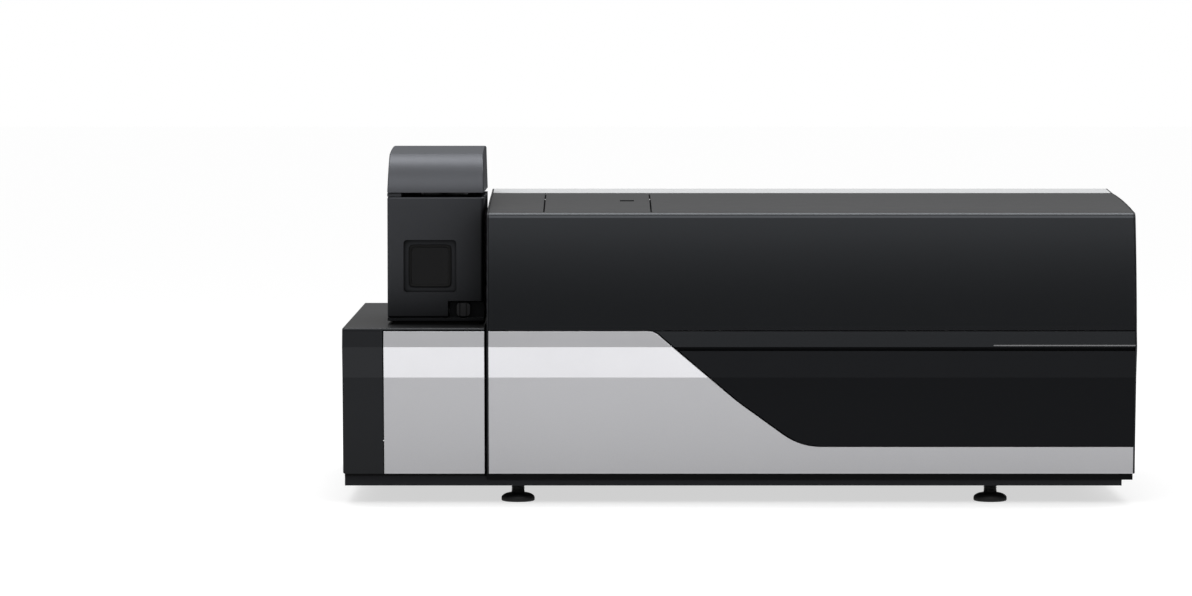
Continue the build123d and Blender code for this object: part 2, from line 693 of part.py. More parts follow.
def grille_slots(x):
    """Upright slots that fill a circle in front of one fan."""
    count = int(GRILLE_RADIUS / SLOT_PITCH)
    slots = []
    for step in range(-count, count + 1):
        offset = step * SLOT_PITCH
        half = math.sqrt(max(GRILLE_RADIUS ** 2 - offset ** 2, SLOT_PITCH ** 2))
        x_span = (x + offset - SLOT_WIDTH / 2, x + offset + SLOT_WIDTH / 2)
        y_span = (depth(BODY_DEPTH - 2 * SKIN), depth(BODY_DEPTH + SKIN))
        slots.append(block(x_span, y_span, (FAN_HEIGHT - half, FAN_HEIGHT - SKIN)))
        slots.append(block(x_span, y_span, (FAN_HEIGHT + SKIN, FAN_HEIGHT + half)))
    return slots


def port_centres():
    """X positions of the two vacuum ports."""
    return (PORT_X - PORT_SPACING / 2, PORT_X + PORT_SPACING / 2)


def gas_centres():
    """X positions of the gas fittings."""
    return (GAS_X - GAS_SPACING, GAS_X, GAS_X + GAS_SPACING)


def rear_panel():
    """Steel rear panel with fan grilles and cut-outs for every fitting."""
    panel = rear_panel_zone(0)
    y_span = (depth(BODY_DEPTH - 2 * SKIN), depth(BODY_DEPTH + SKIN))
    cuts = []
    for x in (FAN_LEFT_X, FAN_RIGHT_X):
        cuts += grille_slots(x)
    for x in port_centres():
        cuts.append(rod_y(PORT_TUBE_RADIUS, y_span, x, PORT_HEIGHT))
    for x in gas_centres():
        cuts.append(rod_y(GAS_BODY_RADIUS, y_span, x, GAS_HEIGHT))
    cuts.append(centred_block(INLET_X, INLET_WIDTH, INLET_HEIGHT, y_span))
    cuts.append(centred_block(SWITCH_X, SWITCH_WIDTH, SWITCH_HEIGHT, y_span))
    for x in (DATA_X - DATA_WIDTH, DATA_X + DATA_WIDTH / 2):
        cuts.append(centred_block(x, DATA_WIDTH, DATA_HEIGHT, y_span))
    return panel - cuts


def centred_block(x, width, height, y_span):
    """A box centred on the row of electrical fittings."""
    return block((x - width / 2, x + width / 2), y_span, (INLET_Z - height / 2, INLET_Z + height / 2))


def power_inlet():
    """Mains inlet body with its open socket and three contact blades."""
    back = depth(BODY_DEPTH) + SHEET
    body = centred_block(INLET_X, INLET_WIDTH, INLET_HEIGHT, (back - INLET_DEPTH, back))
    pocket = centred_block(
        INLET_X,
        INLET_WIDTH - 2 * INLET_POCKET_WALL,
        INLET_HEIGHT - 2 * INLET_POCKET_WALL,
        (back - INLET_POCKET_DEPTH, back),
    )
    inlet = body - pocket
    for step in (-1, 0, 1):
        x = INLET_X + step * INLET_POCKET_WALL * 2
        blade_span = (back - INLET_POCKET_DEPTH, back - INLET_POCKET_DEPTH / 2)
        inlet += centred_block(x, SHEET, INLET_POCKET_WALL, blade_span)
    return inlet


def switch_frame():
    """Open frame that holds the main switch."""
    back = depth(BODY_DEPTH) + SHEET
    body = centred_block(SWITCH_X, SWITCH_WIDTH, SWITCH_HEIGHT, (back - SWITCH_DEPTH, back))
    inner_width = SWITCH_WIDTH - 2 * SWITCH_FRAME_WALL
    inner_height = SWITCH_HEIGHT - 2 * SWITCH_FRAME_WALL
    hollow = centred_block(SWITCH_X, inner_width, inner_height, (back - SWITCH_DEPTH + SHEET, back))
    half = SWITCH_WIDTH / 2 - SHEET
    hole_span = (SWITCH_X - half, SWITCH_X + half)
    pin_hole = rod_x(SWITCH_PIN_RADIUS + RUNNING_CLEARANCE, hole_span, switch_pin_y(), INLET_Z)
    return body - hollow - pin_hole


def switch_pin_y():
    """Y of the main switch's tilt axis."""
    return depth(BODY_DEPTH) - SWITCH_DEPTH / 2 + SHEET


def power_switch():
    """Rocker with two slanted faces and stub pins, stored tilted to its on side."""
    width = SWITCH_WIDTH - 2 * SWITCH_FRAME_WALL - FREE_CLEARANCE
    height = SWITCH_HEIGHT - 2 * (SWITCH_FRAME_WALL + SWITCH_END_GAP)
    face = SWITCH_DEPTH / 2
    rise = height / 2 * math.tan(math.radians(SWITCH_TILT))
    outline = Polyline(
        (-SWITCH_PIN_RADIUS * 2, -height / 4),
        (face, -height / 2),
        (face - rise, 0),
        (face, height / 2),
        (-SWITCH_PIN_RADIUS * 2, height / 4),
        close=True,
    )
    rocker = extrude(Plane.YZ * make_face(outline), width / 2, both=True)
    half = SWITCH_WIDTH / 2 - SHEET - FREE_CLEARANCE / 4
    rocker += rod_x(SWITCH_PIN_RADIUS, (-half, half), 0, 0)
    return Pos(SWITCH_X, switch_pin_y(), INLET_Z) * Rot(SWITCH_TILT, 0, 0) * rocker


def data_ports():
    """Two square network sockets."""
    back = depth(BODY_DEPTH) + FREE_CLEARANCE
    ports = []
    for x in (DATA_X - DATA_WIDTH, DATA_X + DATA_WIDTH / 2):
        body = centred_block(x, DATA_WIDTH, DATA_HEIGHT, (back - DATA_DEPTH, back))
        y_span = (back - DATA_DEPTH + SHEET, back)
        ports.append(body - centred_block(x, DATA_WIDTH - 2 * SKIN, DATA_HEIGHT - 2 * SKIN, y_span))
    return Compound(ports)


def vacuum_port(x):
    """Flanged stub for a roughing pump hose."""
    back = depth(BODY_DEPTH) + REAR_FITTING_REACH
    stub = rod_y(PORT_TUBE_RADIUS, (back - PORT_LENGTH, back), x, PORT_HEIGHT)
    stub += rod_y(PORT_FLANGE_RADIUS, (back - PORT_FLANGE_THICKNESS, back), x, PORT_HEIGHT)
    return stub - rod_y(PORT_BORE_RADIUS, (back - PORT_LENGTH, back), x, PORT_HEIGHT)


def gas_fittings():
    """Three push-in fittings for the source gases."""
    back = depth(BODY_DEPTH) + REAR_FITTING_REACH - SKIN
    fittings = []
    for x in gas_centres():
        body = rod_y(GAS_BODY_RADIUS, (back - GAS_LENGTH, back), x, GAS_HEIGHT)
        collar = rod_y(GAS_BODY_RADIUS + SHEET, (depth(BODY_DEPTH), depth(BODY_DEPTH) + SKIN), x, GAS_HEIGHT)
        bore = rod_y(GAS_BORE_RADIUS, (back - GAS_BORE_LENGTH, back), x, GAS_HEIGHT)
        fittings.append(body + collar - bore)
    return Compound(fittings)


def fan_frames():
    """Square frames of the two cooling fans, each with a bridge that carries the axle."""
    back = depth(BODY_DEPTH - SKIN)
    frames = []
    for x in (FAN_LEFT_X, FAN_RIGHT_X):
        half = FAN_SIZE / 2
        body = block((x - half, x + half), (back - FAN_DEPTH, back), (FAN_HEIGHT - half, FAN_HEIGHT + half))
        frame = body - rod_y(FAN_BORE_RADIUS, (back - FAN_DEPTH, back), x, FAN_HEIGHT)
        bridge_span = (back - FAN_DEPTH, back - FAN_DEPTH + SKIN)
        bridge = block((x - half, x + half), bridge_span, (FAN_HEIGHT - SKIN, FAN_HEIGHT + SKIN))
        axle = rod_y(FAN_AXLE_RADIUS, (back - FAN_DEPTH, back - SKIN), x, FAN_HEIGHT)
        frames.append(frame + bridge + axle)
    return Compound(frames)


def fan_rotor(x):
    """Hub with pitched blades that turns on the fan's axle."""
    back = depth(BODY_DEPTH - SKIN)
    low = back - FAN_DEPTH + SKIN + FREE_CLEARANCE
    high = back - FREE_CLEARANCE
    middle = (low + high) / 2
    reach = FAN_BORE_RADIUS - FAN_TIP_GAP
    rotor = rod_y(FAN_HUB_RADIUS, (low, high), 0, 0)
    chord = min(FAN_BLADE_CHORD, (high - low) / math.sin(math.radians(90 - FAN_BLADE_PITCH)))
    for index in range(FAN_BLADES):
        blade = Box(FAN_BLADE_THICKNESS, chord - 2 * FAN_BLADE_END_GAP, reach - FAN_HUB_RADIUS / 2)
        blade = Pos(0, 0, (reach + FAN_HUB_RADIUS / 2) / 2) * Rot(0, 0, FAN_BLADE_PITCH) * blade
        rotor += Pos(0, middle, 0) * Rot(0, index * 360 / FAN_BLADES, 0) * blade
    rotor -= rod_y(FAN_AXLE_RADIUS + RUNNING_CLEARANCE, (low - SKIN, back - SKIN + FREE_CLEARANCE), 0, 0)
    return Pos(x, 0, FAN_HEIGHT) * rotor


def cover_screws():
    """Cap screws along the edge of the rear panel."""
    y_low = depth(BODY_DEPTH)
    screws = []
    span = SKIN_RIGHT - SKIN_LEFT - 2 * SCREW_INSET
    for z in (PANEL_BOTTOM + SCREW_INSET, REAR_PANEL_TOP - SCREW_INSET):
        for step in range(SCREWS_PER_ROW):
            x = SKIN_LEFT + SCREW_INSET + span * step / (SCREWS_PER_ROW - 1)
            screws.append(rod_y(SCREW_HEAD_RADIUS, (y_low, y_low + SCREW_HEAD_HEIGHT), x, z))
    return Compound(screws)


# ---- base and feet ----

def foot_places():
    """Names and places of the four levelling feet."""
    return {
        "foot_front_left": (FOOT_LEFT_X, depth(FOOT_FRONT_SET_BACK)),
        "foot_front_right": (FOOT_RIGHT_X, depth(FOOT_FRONT_SET_BACK)),
        "foot_rear_left": (FOOT_LEFT_X, depth(FOOT_REAR_SET_BACK)),
        "foot_rear_right": (FOOT_RIGHT_X, depth(FOOT_REAR_SET_BACK)),
    }


def levelling_foot(x, y):
    """Turned foot: a round pad with a domed top, and a threaded stem."""
    dome = Spline(
        (FOOT_PAD_RADIUS, FOOT_PAD_RIM),
        (FOOT_PAD_RADIUS - SKIN, FOOT_PAD_HEIGHT - SHEET),
        (FOOT_STEM_RADIUS, FOOT_PAD_HEIGHT),
    )
    sides = Polyline(
        (FOOT_STEM_RADIUS, FOOT_PAD_HEIGHT),
        (FOOT_STEM_RADIUS, FOOT_STEM_TOP),
        (0, FOOT_STEM_TOP),
        (0, 0),
        (FOOT_PAD_RADIUS - SHEET, 0),
        (FOOT_PAD_RADIUS, SHEET),
        (FOOT_PAD_RADIUS, FOOT_PAD_RIM),
    )
    return Pos(x, y, 0) * revolve(Plane.XZ * make_face([dome, sides]), Axis.Z)


def stem_hole(x, y):
    """Running hole for one foot's stem."""
    return rod_z(FOOT_STEM_RADIUS + RUNNING_CLEARANCE, (0, FOOT_STEM_TOP), x, y)


def main_base_pan():
    """Folded chassis pan under the main body, with a threaded boss over each foot."""
    x_span = (MAIN_LEFT, RIGHT_X - PAN_END_INSET)
    y_span = (depth(PAN_SET_BACK), depth(BODY_DEPTH - PAN_SET_BACK))
    pan = block(x_span, y_span, (PAN_BOTTOM, PLINTH_BOTTOM))
    pan -= block(
        (x_span[0] + SHEET_PAN, x_span[1] - SHEET_PAN),
        (y_span[0] + SHEET_PAN, y_span[1] - SHEET_PAN),
        (PAN_BOTTOM + SHEET_PAN, PLINTH_BOTTOM),
    )
    for x, y in foot_places().values():
        pan += rod_z(FOOT_BOSS_RADIUS, (PAN_BOTTOM, PLINTH_BOTTOM + SHEET_PAN), x, y)
        pan -= stem_hole(x, y)
    return pan


def main_plinth():
    """Dark plinth ring between the pan and the front panels."""
    x_span = (MAIN_LEFT, RIGHT_X - SHEET)
    y_span = (depth(PLINTH_SET_BACK + LOWER_SET_BACK), depth(BODY_DEPTH - SHEET))
    ring = block(x_span, y_span, (PLINTH_BOTTOM, PANEL_BOTTOM))
    return ring - block(
        (x_span[0] + PLINTH_WALL, x_span[1] - PLINTH_WALL),
        (y_span[0] + PLINTH_WALL, y_span[1] - PLINTH_WALL),
        (PLINTH_BOTTOM, PANEL_BOTTOM),
    )


def foot_locknuts():
    """Hexagon nuts that lock the feet against the pan's bosses."""
    low = PLINTH_BOTTOM + SHEET_PAN
    nuts = []
    for x, y in foot_places().values():
        hexagon = RegularPolygon(LOCKNUT_FLATS / 2, 6, major_radius=False)
        nut = Pos(x, y, low) * extrude(hexagon, LOCKNUT_HEIGHT)
        nuts.append(nut - stem_hole(x, y))
    return Compound(nuts)


def source_pan():
    """Pan under the source section, held by the main chassis."""
    x_span = (LEFT_X + SHEET, MAIN_LEFT)
    y_span = (depth(PAN_SET_BACK), depth(BODY_DEPTH - PAN_SET_BACK))
    pan = block(x_span, y_span, (PAN_BOTTOM, SOURCE_PLINTH_BOTTOM))
    return pan - block(
        (x_span[0] + SHEET_PAN, x_span[1] - SHEET_PAN),
        (y_span[0] + SHEET_PAN, y_span[1] - SHEET_PAN),
        (PAN_BOTTOM + SHEET_PAN, SOURCE_PLINTH_BOTTOM),
    )


def source_plinth():
    """Thin dark plinth ring under the source covers."""
    x_span = (LEFT_X + SHEET, SOURCE_RIGHT)
    y_span = (depth(PLINTH_SET_BACK + LOWER_SET_BACK), depth(BODY_DEPTH - SHEET))
    ring = block(x_span, y_span, (SOURCE_PLINTH_BOTTOM, PANEL_BOTTOM))
    return ring - block(
        (x_span[0] + PLINTH_WALL, x_span[1] - PLINTH_WALL),
        (y_span[0] + PLINTH_WALL, y_span[1] - PLINTH_WALL),
        (SOURCE_PLINTH_BOTTOM, PANEL_BOTTOM),
    )


# ---- source section covers ----

def source_cover():
    """Dark folded cover of the source section: left end, deck and rear wall in one."""
    outer = prism(source_face(0), (LEFT_X, SOURCE_RIGHT))
    front_left = outer.faces().sort_by(Axis.X)[0].edges()
    outer = fillet(front_left, SKIN - SEAM / 2)
    hollow = prism(source_face(SKIN), (LEFT_X + SKIN, SOURCE_RIGHT))
    window = block(
        (LEFT_X + SOURCE_END_WIDTH, SOURCE_RIGHT),
        (depth(-SKIN), depth(LOWER_SET_BACK + 2 * SKIN)),
        (PANEL_BOTTOM, BELT_TOP + SEAM),
    )
    return outer - hollow - window


def source_front_panel():
    """Bright front panel of the source section."""
    x_span = (LEFT_X + SOURCE_END_WIDTH + SEAM, SOURCE_RIGHT)
    sheet = prism(source_face(0), x_span) - prism(source_face(SKIN), x_span)
    zone = block(x_span, (depth(-SKIN), depth(LOWER_SET_BACK + SKIN)), (PANEL_BOTTOM, BELT_TOP))
    return sheet & zone


# ---- tower ----

def tower_housing():
    """Cast housing of the ion source: a box open to the front, on a sill that carries the door."""
    front = depth(TOWER_SET_BACK)
    wall_front = front + DOOR_THICKNESS + DOOR_BACK_GAP
    back = front + TOWER_DEPTH
    outer = block((TOWER_LEFT, TOWER_RIGHT), (wall_front, back), (TOWER_BOTTOM, TOWER_TOP))
    outer = fillet(outer.edges().filter_by(Axis.Z).sort_by(Axis.Y)[2:], TOWER_EDGE_RADIUS)
    inner = block(
        (TOWER_LEFT + TOWER_WALL, TOWER_RIGHT - TOWER_WALL),
        (wall_front, back - TOWER_WALL),
        (TOWER_BOTTOM + SILL_THICKNESS, TOWER_TOP - TOWER_WALL),
    )
    housing = outer - inner
    housing += block(
        (TOWER_LEFT, TOWER_RIGHT),
        (front + SHEET, wall_front),
        (TOWER_BOTTOM, TOWER_BOTTOM + SILL_THICKNESS),
    )
    housing += block(
        (TOWER_LEFT, TOWER_LEFT + DOOR_EAR_WIDTH),
        (front + SHEET, wall_front + DOOR_EAR_WIDTH),
        (TOWER_TOP, TOWER_TOP + DOOR_EAR_THICKNESS),
    )
    housing += latch_block()
    for x_span in cap_lug_spans():
        y_span = (cap_pin_y() - CAP_KNUCKLE_RADIUS, cap_pin_y() + SHEET)
        low = block(x_span, y_span, (TOWER_TOP - SHEET, cap_pin_z()))
        housing += low + rod_x(CAP_KNUCKLE_RADIUS, x_span, cap_pin_y(), cap_pin_z())
    housing -= rod_x(CAP_PIN_RADIUS, (TOWER_LEFT, TOWER_RIGHT), cap_pin_y(), cap_pin_z())
    housing -= rod_z(DOOR_PIN_RADIUS, (TOWER_BOTTOM, CAP_BOTTOM), door_pin_x(), door_pin_y())
    grip_reach = (LATCH_KNOB_WIDTH / 2 - LATCH_KNOB_CORNER) * math.sqrt(2) + LATCH_KNOB_CORNER
    grip_room = (front, front + LATCH_BLOCK_SET_BACK)
    housing -= rod_y(grip_reach + FREE_CLEARANCE, grip_room, latch_x(), LATCH_Z)
    shaft_span = (front, wall_front + TOWER_WALL)
    housing -= rod_y(LATCH_SHAFT_RADIUS + RUNNING_CLEARANCE, shaft_span, latch_x(), LATCH_Z)
    housing -= rod_z(PROBE_BODY_RADIUS + FREE_CLEARANCE, (CHAMBER_TOP, TOWER_TOP), probe_x(), probe_y())
    wall_span = (TOWER_RIGHT - TOWER_WALL, TOWER_RIGHT)
    return housing - rod_x(LINE_RADIUS + LINE_HOLE_CLEARANCE, wall_span, axis_y(), ION_AXIS_HEIGHT)


def latch_block():
    """Block at the lower right of the housing's mouth, which fills the door's notch."""
    wall_front = depth(TOWER_SET_BACK) + DOOR_THICKNESS + DOOR_BACK_GAP
    return block(
        (TOWER_RIGHT - NOTCH_WIDTH + FREE_CLEARANCE * 2, TOWER_RIGHT),
        (depth(TOWER_SET_BACK + LATCH_BLOCK_SET_BACK), wall_front + LATCH_CAM_THICKNESS),
        (TOWER_BOTTOM, NOTCH_TOP - FREE_CLEARANCE * 2),
    )


def latch_x():
    """X of the door latch's axis."""
    return TOWER_RIGHT - LATCH_X_FROM_RIGHT


def latch_cam_front():
    """Y of the front of the latch's cam, just behind the block."""
    return depth(TOWER_SET_BACK) + DOOR_THICKNESS + DOOR_BACK_GAP + LATCH_CAM_THICKNESS + FREE_CLEARANCE / 2


def door_latch():
    """Quarter-turn latch: a square grip, a shaft through the block and a cam behind it."""
    x = latch_x()
    block_front = depth(TOWER_SET_BACK + LATCH_BLOCK_SET_BACK)
    grip_span = (block_front - FREE_CLEARANCE / 2 - LATCH_KNOB_THICKNESS, block_front - FREE_CLEARANCE / 2)
    half_width = LATCH_KNOB_WIDTH / 2
    grip = block((x - half_width, x + half_width), grip_span, (LATCH_Z - half_width, LATCH_Z + half_width))
    grip = fillet(grip.edges().filter_by(Axis.Y), LATCH_KNOB_CORNER)
    for side in (-1, 1):
        low = x + side * half_width / 2 - FREE_CLEARANCE
        waist = block((low, low + 2 * FREE_CLEARANCE), (grip_span[0], grip_span[0] + SHEET), (0, TOWER_TOP))
        grip -= waist
    cam_span = (latch_cam_front(), latch_cam_front() + LATCH_CAM_THICKNESS)
    shaft = rod_y(LATCH_SHAFT_RADIUS, (grip_span[0] + SHEET, cam_span[1]), x, LATCH_Z)
    half_cam = LATCH_CAM_WIDTH / 2
    cam = block((x - LATCH_CAM_LENGTH, x + half_cam), cam_span, (LATCH_Z - half_cam, LATCH_Z + half_cam))
    return grip + shaft + cam


def door_pin_x():
    return TOWER_LEFT + DOOR_PIN_INSET


def door_pin_y():
    return depth(TOWER_SET_BACK) + DOOR_PIN_INSET


def door_pins():
    """Two short pins on the door's left edge, pressed into the sill and the upper ear."""
    low_span = (TOWER_BOTTOM, TOWER_BOTTOM + DOOR_PIN_LENGTH)
    ear_top = TOWER_TOP + DOOR_EAR_THICKNESS
    high_span = (ear_top - DOOR_PIN_LENGTH, ear_top)
    return [rod_z(DOOR_PIN_RADIUS, span, door_pin_x(), door_pin_y()) for span in (low_span, high_span)]


def hinge_pins():
    """All hinge pins of the covers: two for the door, one for the probe cover, one for the hatch."""
    return Compound([*door_pins(), cap_pin(), hatch_pin()])


def door_span():
    """Height span of the door between the sill and the ear."""
    return (TOWER_BOTTOM + SILL_THICKNESS + FREE_CLEARANCE / 2, TOWER_TOP - FREE_CLEARANCE / 2)


def window_span():
    """X span of the square recess around the sight window."""
    right = TOWER_RIGHT - WINDOW_RIGHT_INSET
    return (right - WINDOW_SIZE, right)


def source_door():
    """Moulded door: a hollow tray with rounded edges, a recessed square around the sight window."""
    front = depth(TOWER_SET_BACK)
    back = front + DOOR_THICKNESS
    low, high = door_span()
    outer = block((TOWER_LEFT, TOWER_RIGHT), (front, back), (low, high))
    outer = fillet(outer.edges().filter_by(Axis.Z).sort_by(Axis.Y)[:2], TOWER_EDGE_RADIUS)
    rims = outer.edges().filter_by(Axis.X).group_by(Axis.Y)[0]
    outer = fillet(rims, DOOR_RIM_RADIUS)
    hollow = block(
        (TOWER_LEFT + 2 * DOOR_BOSS_RADIUS + SHEET, TOWER_RIGHT - DOOR_SKIN),
        (front + DOOR_SKIN + WINDOW_RECESS, back),
        (low + DOOR_SKIN, high - DOOR_SKIN),
    )
    door = outer - hollow
    x_span = window_span()
    z_span = (WINDOW_BOTTOM, WINDOW_BOTTOM + WINDOW_SIZE)
    recess = block(x_span, (front, front + WINDOW_RECESS), z_span)
    recess = fillet(recess.edges().filter_by(Axis.Y), WINDOW_CORNER)
    door -= recess
    door -= pane_block(0)
    notch_front = block(
        (TOWER_RIGHT - NOTCH_WIDTH, TOWER_RIGHT),
        (front, back),
        (low, NOTCH_TOP),
    )
    frame = block(
        (TOWER_RIGHT - NOTCH_WIDTH - DOOR_SKIN, TOWER_RIGHT - DOOR_SKIN),
        (front + DOOR_SKIN, back),
        (low + DOOR_SKIN, NOTCH_TOP + DOOR_SKIN),
    )
    catch = block(
        (latch_x() - LATCH_CAM_WIDTH, latch_x() + LATCH_CAM_WIDTH),
        (back - DOOR_SKIN, latch_cam_front() - FREE_CLEARANCE / 2),
        (NOTCH_TOP, NOTCH_TOP + DOOR_SKIN),
    )
    door = door + frame + catch - notch_front
    for z_span in ((low, low + DOOR_PIN_LENGTH), (high - DOOR_PIN_LENGTH, high)):
        door -= rod_z(DOOR_PIN_RADIUS + RUNNING_CLEARANCE, z_span, door_pin_x(), door_pin_y())
    return door


def pane_block(gap):
    """The square of the sight window, centred in its recess."""
    x_span = window_span()
    x_middle = (x_span[0] + x_span[1]) / 2
    z_middle = WINDOW_BOTTOM + WINDOW_SIZE / 2
    half = PANE_SIZE / 2 - gap
    low = depth(TOWER_SET_BACK) + WINDOW_RECESS
    x_span = (x_middle - half, x_middle + half)
    return block(x_span, (low, low + DOOR_SKIN), (z_middle - half, z_middle + half))


def sight_window():
    """Glass pane through which the spray is watched."""
    return pane_block(0)


def probe_x():
    return TOWER_RIGHT - PROBE_X_FROM_RIGHT


def probe_y():
    return depth(ION_AXIS_SET_BACK)


def cap_pin_y():
    return depth(TOWER_SET_BACK + TOWER_DEPTH - CAP_PIN_INSET)


def cap_pin_z():
    return TOWER_TOP + CAP_PIN_RISE


def cap_lug_spans():
    """X spans of the two lugs on the housing that hold the cap's pin."""
    left = TOWER_LEFT + CAP_LUG_INSET
    right = TOWER_RIGHT - CAP_LUG_INSET
    return ((left, left + CAP_LUG_THICKNESS), (right - CAP_LUG_THICKNESS, right))


def cap_face(inset):
    """Side outline of the probe cover: a bowed leaning front, a tight corner and a crowned top."""
    rear = depth(TOWER_SET_BACK + TOWER_DEPTH) - inset
    low = (depth(TOWER_SET_BACK) + inset, CAP_BOTTOM)
    corner = (depth(TOWER_SET_BACK + CAP_LEAN) + inset, CAP_TOP - CAP_CORNER_DROP - inset)
    crown = (depth(TOWER_SET_BACK + TOWER_DEPTH * CAP_CROWN_SHARE), CAP_TOP - inset)
    rear_top = (rear, CAP_TOP - CAP_REAR_FALL - inset)
    edges = [
        bow(low, corner, CAP_BOW),
        ThreePointArc(corner, crown, rear_top),
        Line(rear_top, (rear, CAP_BOTTOM)),
        Line((rear, CAP_BOTTOM), low),
    ]
    outline = make_face(edges)
    upper = [vertex for vertex in outline.vertices() if vertex.Y > CAP_BOTTOM + CAP_CORNER_DROP]
    return Plane.YZ * fillet(upper, CAP_CORNER_RADIUS)


def probe_cover():
    """Hinged cap over the probe: a bowed shell with drafted sides and two inner knuckles."""
    outer = prism(cap_face(0), (TOWER_LEFT, TOWER_RIGHT))
    sides = outer.faces().filter_by(Axis.X)
    outer = draft(sides, Plane.XY.offset(CAP_BOTTOM), math.degrees(math.atan(CAP_TAPER / CAP_HEIGHT)))
    ends = outer.faces().sort_by(Axis.X)
    rims = [edge for edge in (ends[0] + ends[-1]).edges() if edge.center().Z > CAP_BOTTOM + CAP_EDGE_RADIUS]
    outer = fillet(rims, CAP_EDGE_RADIUS)
    inner = prism(cap_face(CAP_WALL), (TOWER_LEFT + CAP_WALL + CAP_TAPER, TOWER_RIGHT - CAP_WALL - CAP_TAPER))
    cap = outer - inner
    y = cap_pin_y()
    z = cap_pin_z()
    lugs = cap_lug_spans()
    side_gap = FREE_CLEARANCE / 2
    for x_span in (
        (lugs[0][1] + side_gap, lugs[0][1] + side_gap + CAP_KNUCKLE_LENGTH),
        (lugs[1][0] - side_gap - CAP_KNUCKLE_LENGTH, lugs[1][0] - side_gap),
    ):
        cap += rod_x(CAP_KNUCKLE_RADIUS, x_span, y, z)
        cap += block(x_span, (y, y + CAP_PIN_INSET - CAP_WALL / 2), (z - SHEET, z + CAP_KNUCKLE_RADIUS))
    for lug in lugs:
        cap -= block(
            (lug[0] - side_gap, lug[1] + side_gap),
            (y + CAP_KNUCKLE_RADIUS - CAP_WALL, y + CAP_PIN_INSET),
            (CAP_BOTTOM, z + CAP_KNUCKLE_RADIUS + FREE_CLEARANCE),
        )
    return cap - rod_x(CAP_PIN_RADIUS + RUNNING_CLEARANCE, (lugs[0][0], lugs[1][1]), y, z)


def cap_pin():
    """Pin of the probe cover, pressed into the housing's lugs."""
    lugs = cap_lug_spans()
    return rod_x(CAP_PIN_RADIUS, (lugs[0][0], lugs[1][1]), cap_pin_y(), cap_pin_z())


# ---- ion source ----

def source_chamber():
    """Cast chamber open to the door, with a probe bore in its roof and a cone seat at its right."""
    left = TOWER_LEFT + CHAMBER_SIDE_GAP
    right = TOWER_RIGHT - CHAMBER_SIDE_GAP
    front = depth(TOWER_SET_BACK) + DOOR_THICKNESS + DOOR_BACK_GAP + 3 * LATCH_CAM_THICKNESS
    back = depth(CHAMBER_BACK_SET_BACK)
    outer = block((left, right), (front, back), (CHAMBER_BOTTOM, CHAMBER_TOP))
    inner = block(
        (left + CHAMBER_WALL, right - CHAMBER_WALL),
        (front - CHAMBER_WALL, back - CHAMBER_WALL),
        (CHAMBER_BOTTOM + CHAMBER_WALL, CHAMBER_TOP - CHAMBER_WALL),
    )
    inner = fillet(inner.edges().filter_by(Axis.Y), CHAMBER_CORNER)
    chamber = outer - inner
    chamber -= rod_z(PROBE_BORE_RADIUS, (CHAMBER_TOP - CHAMBER_WALL * 2, CHAMBER_TOP), probe_x(), probe_y())
    seat_span = (right - CHAMBER_WALL, right - CHAMBER_WALL / 2)
    seat = rod_x(CONE_BASE_RADIUS, seat_span, probe_y(), ION_AXIS_HEIGHT)
    line_hole = rod_x(LINE_RADIUS, (right - CHAMBER_WALL, right), probe_y(), ION_AXIS_HEIGHT)
    return chamber - seat - line_hole


def inlet_cone():
    """Sampling cone that faces the spray."""
    base = TOWER_RIGHT - CHAMBER_SIDE_GAP - CHAMBER_WALL / 2
    outline = Polyline(
        (0, CONE_BORE_RADIUS),
        (0, CONE_BASE_RADIUS - SHEET),
        (CHAMBER_WALL / 2 + SHEET, CONE_BASE_RADIUS - SHEET),
        (CONE_LENGTH, CONE_TIP_RADIUS),
        (CONE_LENGTH, CONE_BORE_RADIUS),
        close=True,
    )
    cone = revolve(make_face(outline), Axis.X)
    return Pos(base, probe_y(), ION_AXIS_HEIGHT) * Rot(0, 0, 180) * cone


def inlet_line():
    """Heated transfer tube from the cone into the vacuum manifold."""
    span = (TOWER_RIGHT - CHAMBER_SIDE_GAP - CHAMBER_WALL / 2, MANIFOLD_LEFT + MANIFOLD_WALL)
    tube = rod_x(LINE_RADIUS, span, probe_y(), ION_AXIS_HEIGHT)
    return tube - rod_x(LINE_BORE_RADIUS, span, probe_y(), ION_AXIS_HEIGHT)


def stage_shaft_height():
    """Height of the stage knob's axis."""
    return TOWER_TOP + STAGE_KNOB_RADIUS + FREE_CLEARANCE


def stage_front():
    """Y of the stage's front face."""
    return probe_y() - STAGE_LENGTH / 2


def probe_stage():
    """Slide block on top of the housing that positions the probe."""
    x = probe_x()
    z_span = (TOWER_TOP, TOWER_TOP + STAGE_HEIGHT)
    y_span = (stage_front(), stage_front() + STAGE_LENGTH)
    stage = block((x - STAGE_WIDTH / 2, x + STAGE_WIDTH / 2), y_span, z_span)
    stage = fillet(stage.edges().filter_by(Axis.Z), STAGE_EDGE_RADIUS)
    stage -= rod_z(PROBE_BORE_RADIUS, z_span, x, probe_y())
    shaft_span = (y_span[0], y_span[0] + STAGE_SHAFT_ENGAGED + FREE_CLEARANCE)
    return stage - rod_y(STAGE_SHAFT_RADIUS + RUNNING_CLEARANCE, shaft_span, x, stage_shaft_height())


